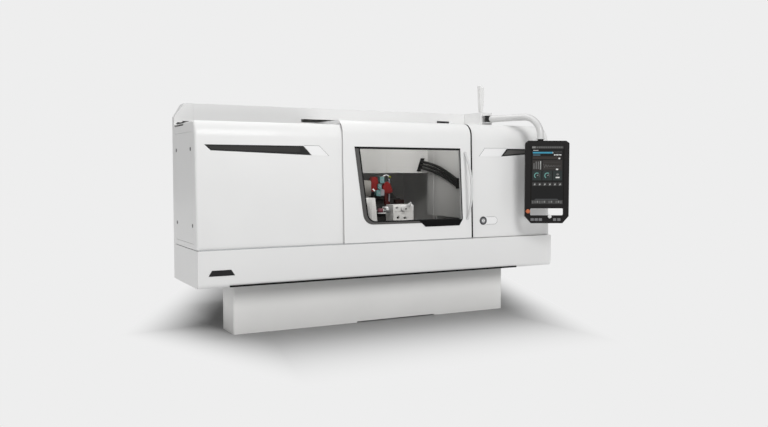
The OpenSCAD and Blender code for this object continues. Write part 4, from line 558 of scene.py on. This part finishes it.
def draw_covers():
    """Trim on the fixed covers: stripe inserts, thin plate borders, lock core, and a black strip under the
    skirt's lower edge as painted shadow.
    """
    cover = face_plane(COVER_SET, COVER_LEAN)
    stripes = Shape("stripe_inserts", cover)
    left = [(LEFT_X + 0.099, 0.822), (LEFT_X + 0.872, 0.822),
            (LEFT_X + 0.906, 0.779), (LEFT_X + 0.137, 0.797)]
    right = [(LEFT_X + 3.006, 0.824), (RIGHT_X - 0.163, 0.824),
             (RIGHT_X - 0.207, 0.803), (LEFT_X + 2.953, 0.776)]
    stripes.prism(left, -0.0021, -0.0012, "insert_grey")
    stripes.prism(right, -0.0021, -0.0012, "insert_light")
    stripes.ride("machine")
    lines = Shape("plate_borders", cover)
    lines.band([(LEFT_X + 0.912, 0.8362), (LEFT_X + 1.0485, 0.8362), (LEFT_X + 1.139, 0.751)], *BORDER)
    lines.band([(LEFT_X + 2.673, 0.762), (LEFT_X + 2.735, 0.8385), (LEFT_X + 2.988, 0.8414)], *BORDER)
    x0, x1, y, r = LEFT_X + 2.711, LEFT_X + 2.873, 0.158, 0.0355
    pill = [(x0 + 0.038, y + r), (x1 - r, y + r)]
    turns = [math.radians(a) for a in range(75, -76, -15)]
    pill += [(x1 - r + r * math.cos(t), y + r * math.sin(t)) for t in turns]
    pill += [(x1 - r, y - r), (x0 + 0.038, y - r)]
    lines.band(pill, *BORDER)
    lines.ride("machine")
    # Black strip under the skirt's lower edge: painted shadow between the skirt and the bed's bar
    edge = Shape("skirt_edge_shadow_strip", FRONT)
    edge.plate(BAR_X[0], SKIRT_LOW + 0.001, BAR_X[1], SKIRT_LOW + 0.016, 1.0 - 0.0003, 1.0 + 0.0007, "rubber")
    edge.ride("machine")
    core = Shape("lock_core", cover)
    core.disc(LEFT_X + 2.711, 0.158, 0.0245, 0.0035, 0.0062, "latch_bright", 48)
    core.disc(LEFT_X + 2.711, 0.158, 0.0135, 0.0062, 0.0075, "plate_white", 32)
    core.plate(LEFT_X + 2.7085, 0.149, LEFT_X + 2.7135, 0.167, 0.0075, 0.0079, "lock_dark")
    core.ride("machine")


def front_profile(setback, lean, brow, top, low, depth, steps=20):
    """Side outline (y, z) of a leaning front and its brow, `depth` under the skin, up to the roof."""
    cz = top - brow
    cy = FRONT_Y + setback + (cz - SEAM_Z) * math.tan(lean) + brow / math.cos(lean)
    points = [(FRONT_Y + setback + (low - SEAM_Z) * math.tan(lean) + depth, low)]
    for i in range(steps + 1):
        a = lean + (math.pi / 2 - lean) * i / steps
        points.append((cy - (brow - depth) * math.cos(a), cz + (brow - depth) * math.sin(a)))
    return points


def draw_seals():
    """Black rubber wiper on the door's closing edge, over its whole outline."""
    seal = Shape("door_seal", SIDE)
    outer = front_profile(DOOR_SET, DOOR_LEAN, DOOR_BROW, DOOR_TOP, DOOR_FOOT, -0.0006)
    inner = front_profile(DOOR_SET, DOOR_LEAN, DOOR_BROW, DOOR_TOP, DOOR_FOOT, 0.020)
    outer.append((JOINT_Y - 0.020, DOOR_TOP + 0.0006))
    inner.append((JOINT_Y - 0.020, DOOR_TOP - 0.020))
    for i in range(len(outer) - 1):
        section = [outer[i], outer[i + 1], inner[i + 1], inner[i]]
        seal.prism(section, DOOR_X1 - 0.006, DOOR_X1 + 0.0095, "rubber")
    seal.ride("door")


def draw_window():
    """Black edging on the window's frame: over its top, down its right side and along the pane."""
    w = Shape("window_edging", face_plane(DOOR_SET, DOOR_LEAN))
    x0, x1, x2 = LEFT_X + 1.370, LEFT_X + 2.449, LEFT_X + 2.465
    w.prism([(x0, 0.834), (x1, 0.832), (x1 - 0.012, 0.817), (x0 + 0.004, 0.818)], 0.0031, 0.0037, "rubber")
    right = [(x1, 0.832), (x2 + 0.003, 0.182), (x2 - 0.008, 0.182), (x1 - 0.011, 0.818)]
    gasket = [(x1 - 0.011, 0.818), (x2 - 0.008, 0.182), (x2 - 0.021, 0.182), (x1 - 0.021, 0.811)]
    w.prism(right, 0.0031, 0.0037, "rubber")
    w.prism(gasket, 0.0031, 0.0035, "gasket_grey")
    lap = 0.0055
    top = (LEFT_X + 1.420 - lap, 0.818)
    low = (LEFT_X + 1.498 - lap, 0.189 - lap)
    end = (LEFT_X + 2.430, 0.189 - lap)
    w.band([top] + round_corner(top, low, end, 0.081) + [end], 2 * lap, 0.0031, 0.0041, "rubber")
    w.ride("door")


def round_corner(before, at, after, r, n=10):
    """Points of the arc that rounds the corner at `at` with radius r."""
    a, b, c = Vector(before), Vector(at), Vector(after)
    u, v = (a - b).normalized(), (c - b).normalized()
    half = u.angle(v) / 2
    middle = b + (u + v).normalized() * r / math.sin(half)
    start, stop = b + u * r / math.tan(half) - middle, b + v * r / math.tan(half) - middle
    first, last = math.atan2(start.y, start.x), math.atan2(stop.y, stop.x)
    sweep = (last - first + math.pi) % (2 * math.pi) - math.pi
    turns = [first + sweep * i / n for i in range(n + 1)]
    return [(middle.x + r * math.cos(t), middle.y + r * math.sin(t)) for t in turns]


def draw_wheel_side():
    """Guards, distributor blocks and pipes around the grinding wheel, carried by the infeed slide."""
    side = Shape("wheel_visor", SIDE)
    bend = [(-0.120, 1.268), (-0.285, 1.258), (-0.300, 1.240), (-0.302, 1.108)]
    for a, b in zip(bend, bend[1:]):
        strip = [a, b, (b[0] + 0.003, b[1] - 0.003), (a[0] + 0.003, a[1] - 0.003)]
        side.prism(strip, 0.034, 0.118, "visor_steel")
    side.ride("infeed")
    blocks = Shape("distributor_blocks", FRONT)
    cut = 0.010
    for x0, z0, x1, z1 in (
            (0.226, 1.232, 0.274, 1.294), (0.186, 1.106, 0.244, 1.162), (0.206, 1.172, 0.244, 1.224)):
        outline = [(x0 + cut, z0), (x1, z0), (x1, z1 - cut), (x1 - cut, z1), (x0, z1), (x0, z0 + cut)]
        blocks.prism(outline, 0.230, 0.280, "nozzle_teal")
        blocks.disc((x0 + x1) / 2, (z0 + z1) / 2, 0.008, 0.280, 0.284, "fitting_grey", 16)
    nose = [(0.232, 1.110), (0.270, 1.110), (0.270, 1.165), (0.250, 1.176), (0.232, 1.165)]
    tab = [(0.150, 1.172), (0.176, 1.150), (0.184, 1.158), (0.162, 1.180)]
    blocks.prism(nose, 0.235, 0.286, "fitting_grey")
    blocks.prism(tab, 0.250, 0.262, "plate_white")
    blocks.ride("infeed")
    jet = Shape("jet_body", FRONT)
    head = [(0.266, 1.190), (0.284, 1.234), (0.322, 1.246), (0.350, 1.226),
            (0.380, 1.152), (0.362, 1.134), (0.292, 1.134)]
    jet.prism(head, 0.232, 0.258, "nozzle_red")
    jet.plate(0.292, 1.062, 0.316, 1.134, 0.236, 0.254, "nozzle_red")
    jet.plate(0.304, 1.012, 0.354, 1.056, 0.222, 0.244, "nozzle_red")
    jet.tube([(0.347, 1.134, 0.246), (0.347, 1.050, 0.240)], 0.007, "fitting_grey")
    for x, z, r in ((0.336, 1.262, 0.009), (0.338, 1.240, 0.007)):
        jet.disc(x, z, r, 0.240, 0.262, "fitting_grey", 16)
    jet.ride("infeed")
    pipe = Shape("feed_pipe", FRONT)
    turns = [math.pi * k / 12 for k in range(11)]
    arc = [(0.3073 - 0.036 * math.cos(t), 1.283 + 0.027 * math.sin(t), 0.25) for t in turns]
    pipe.tube(arc, 0.0065, "plate_white")
    pipe.tube([arc[-1], (0.348, 1.292, 0.25), (0.362, 1.288, 0.25)], 0.0075, "hose_lime")
    pipe.ride("infeed", True)
    gauge = Shape("gauge_head", FRONT)
    gauge.plate(0.330, 1.018, 0.440, 1.034, 0.215, 0.232, "joint_black")
    body = [(0.419, 1.010), (0.518, 1.010), (0.518, 1.062), (0.512, 1.068), (0.425, 1.068), (0.419, 1.062)]
    gauge.prism(body, 0.200, 0.240, "gauge_brown")
    gauge.ride("infeed")


def draw_table_side():
    """Splash plate, driver and sleeve on the table's own units, with dark discs that paint shade in the
    tailstock's pockets.
    """
    plate = Shape("splash_plate", FRONT)
    outline = [(-0.060, 0.842), (0.0075, 0.842), (-0.0215, 1.103), (-0.060, 1.105)]
    plate.prism(outline, 0.652, 0.655, "plate_white")
    plate.ride("upper_table")
    chuck = Shape("driver_jaws", FRONT)
    chuck.plate(0.114, 0.957, 0.160, 0.994, 0.44, 0.47, "jaw_pink")
    chuck.plate(0.113, 0.946, 0.190, 0.954, 0.44, 0.47, "plate_white")
    chuck.plate(0.176, 0.962, 0.200, 0.984, 0.44, 0.46, "joint_black")
    chuck.tube([(0.166, 1.003, 0.45), (0.292, 0.997, 0.45)], 0.011, "ground_steel")
    chuck.ride("upper_table", True)
    # Taken from the lever, because the tailstock's own box also holds the lever's pin
    face = -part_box("quill_lever")[1][1] - LEVER_GAP
    marks = Shape("tailstock_marks_and_pocket_shade", FRONT)
    mark_front = face + 0.0003
    pocket_floor = face - POCKET_DEEP
    # The discs on the pocket floors are painted shade in the pockets; the last disc is a black mark on the
    # face
    marks.disc(0.278, 1.000, 0.008, pocket_floor, pocket_floor + 0.001, "fitting_grey", 16)
    marks.disc(0.292, 0.905, 0.012, pocket_floor, pocket_floor + 0.001, "rubber", 16, 0.8)
    marks.disc(0.368, 0.900, 0.015, pocket_floor, pocket_floor + 0.001, "rubber", 16, 0.5)
    marks.disc(0.3755, 0.989, 0.013, face, mark_front, "rubber", 20, 0.6)
    marks.ride("upper_table")


def dress_frame(f):
    for sub in frame["record"]["subparts"]:
        o = frame["nodes"][sub["node"]]
        m = f[OWN_FINISH.get(sub["node"], sub["material_slot"])]
        o.data.materials.clear()
        o.data.materials.append(m)


make_camera()
make_world()
make_lights()
make_floor()
FINISH = make_finishes()
dress_frame(FINISH)
draw_screen()
draw_covers()
draw_seals()
draw_window()
draw_wheel_side()
draw_table_side()

scene = bpy.context.scene
scene.view_settings.view_transform = "Standard"
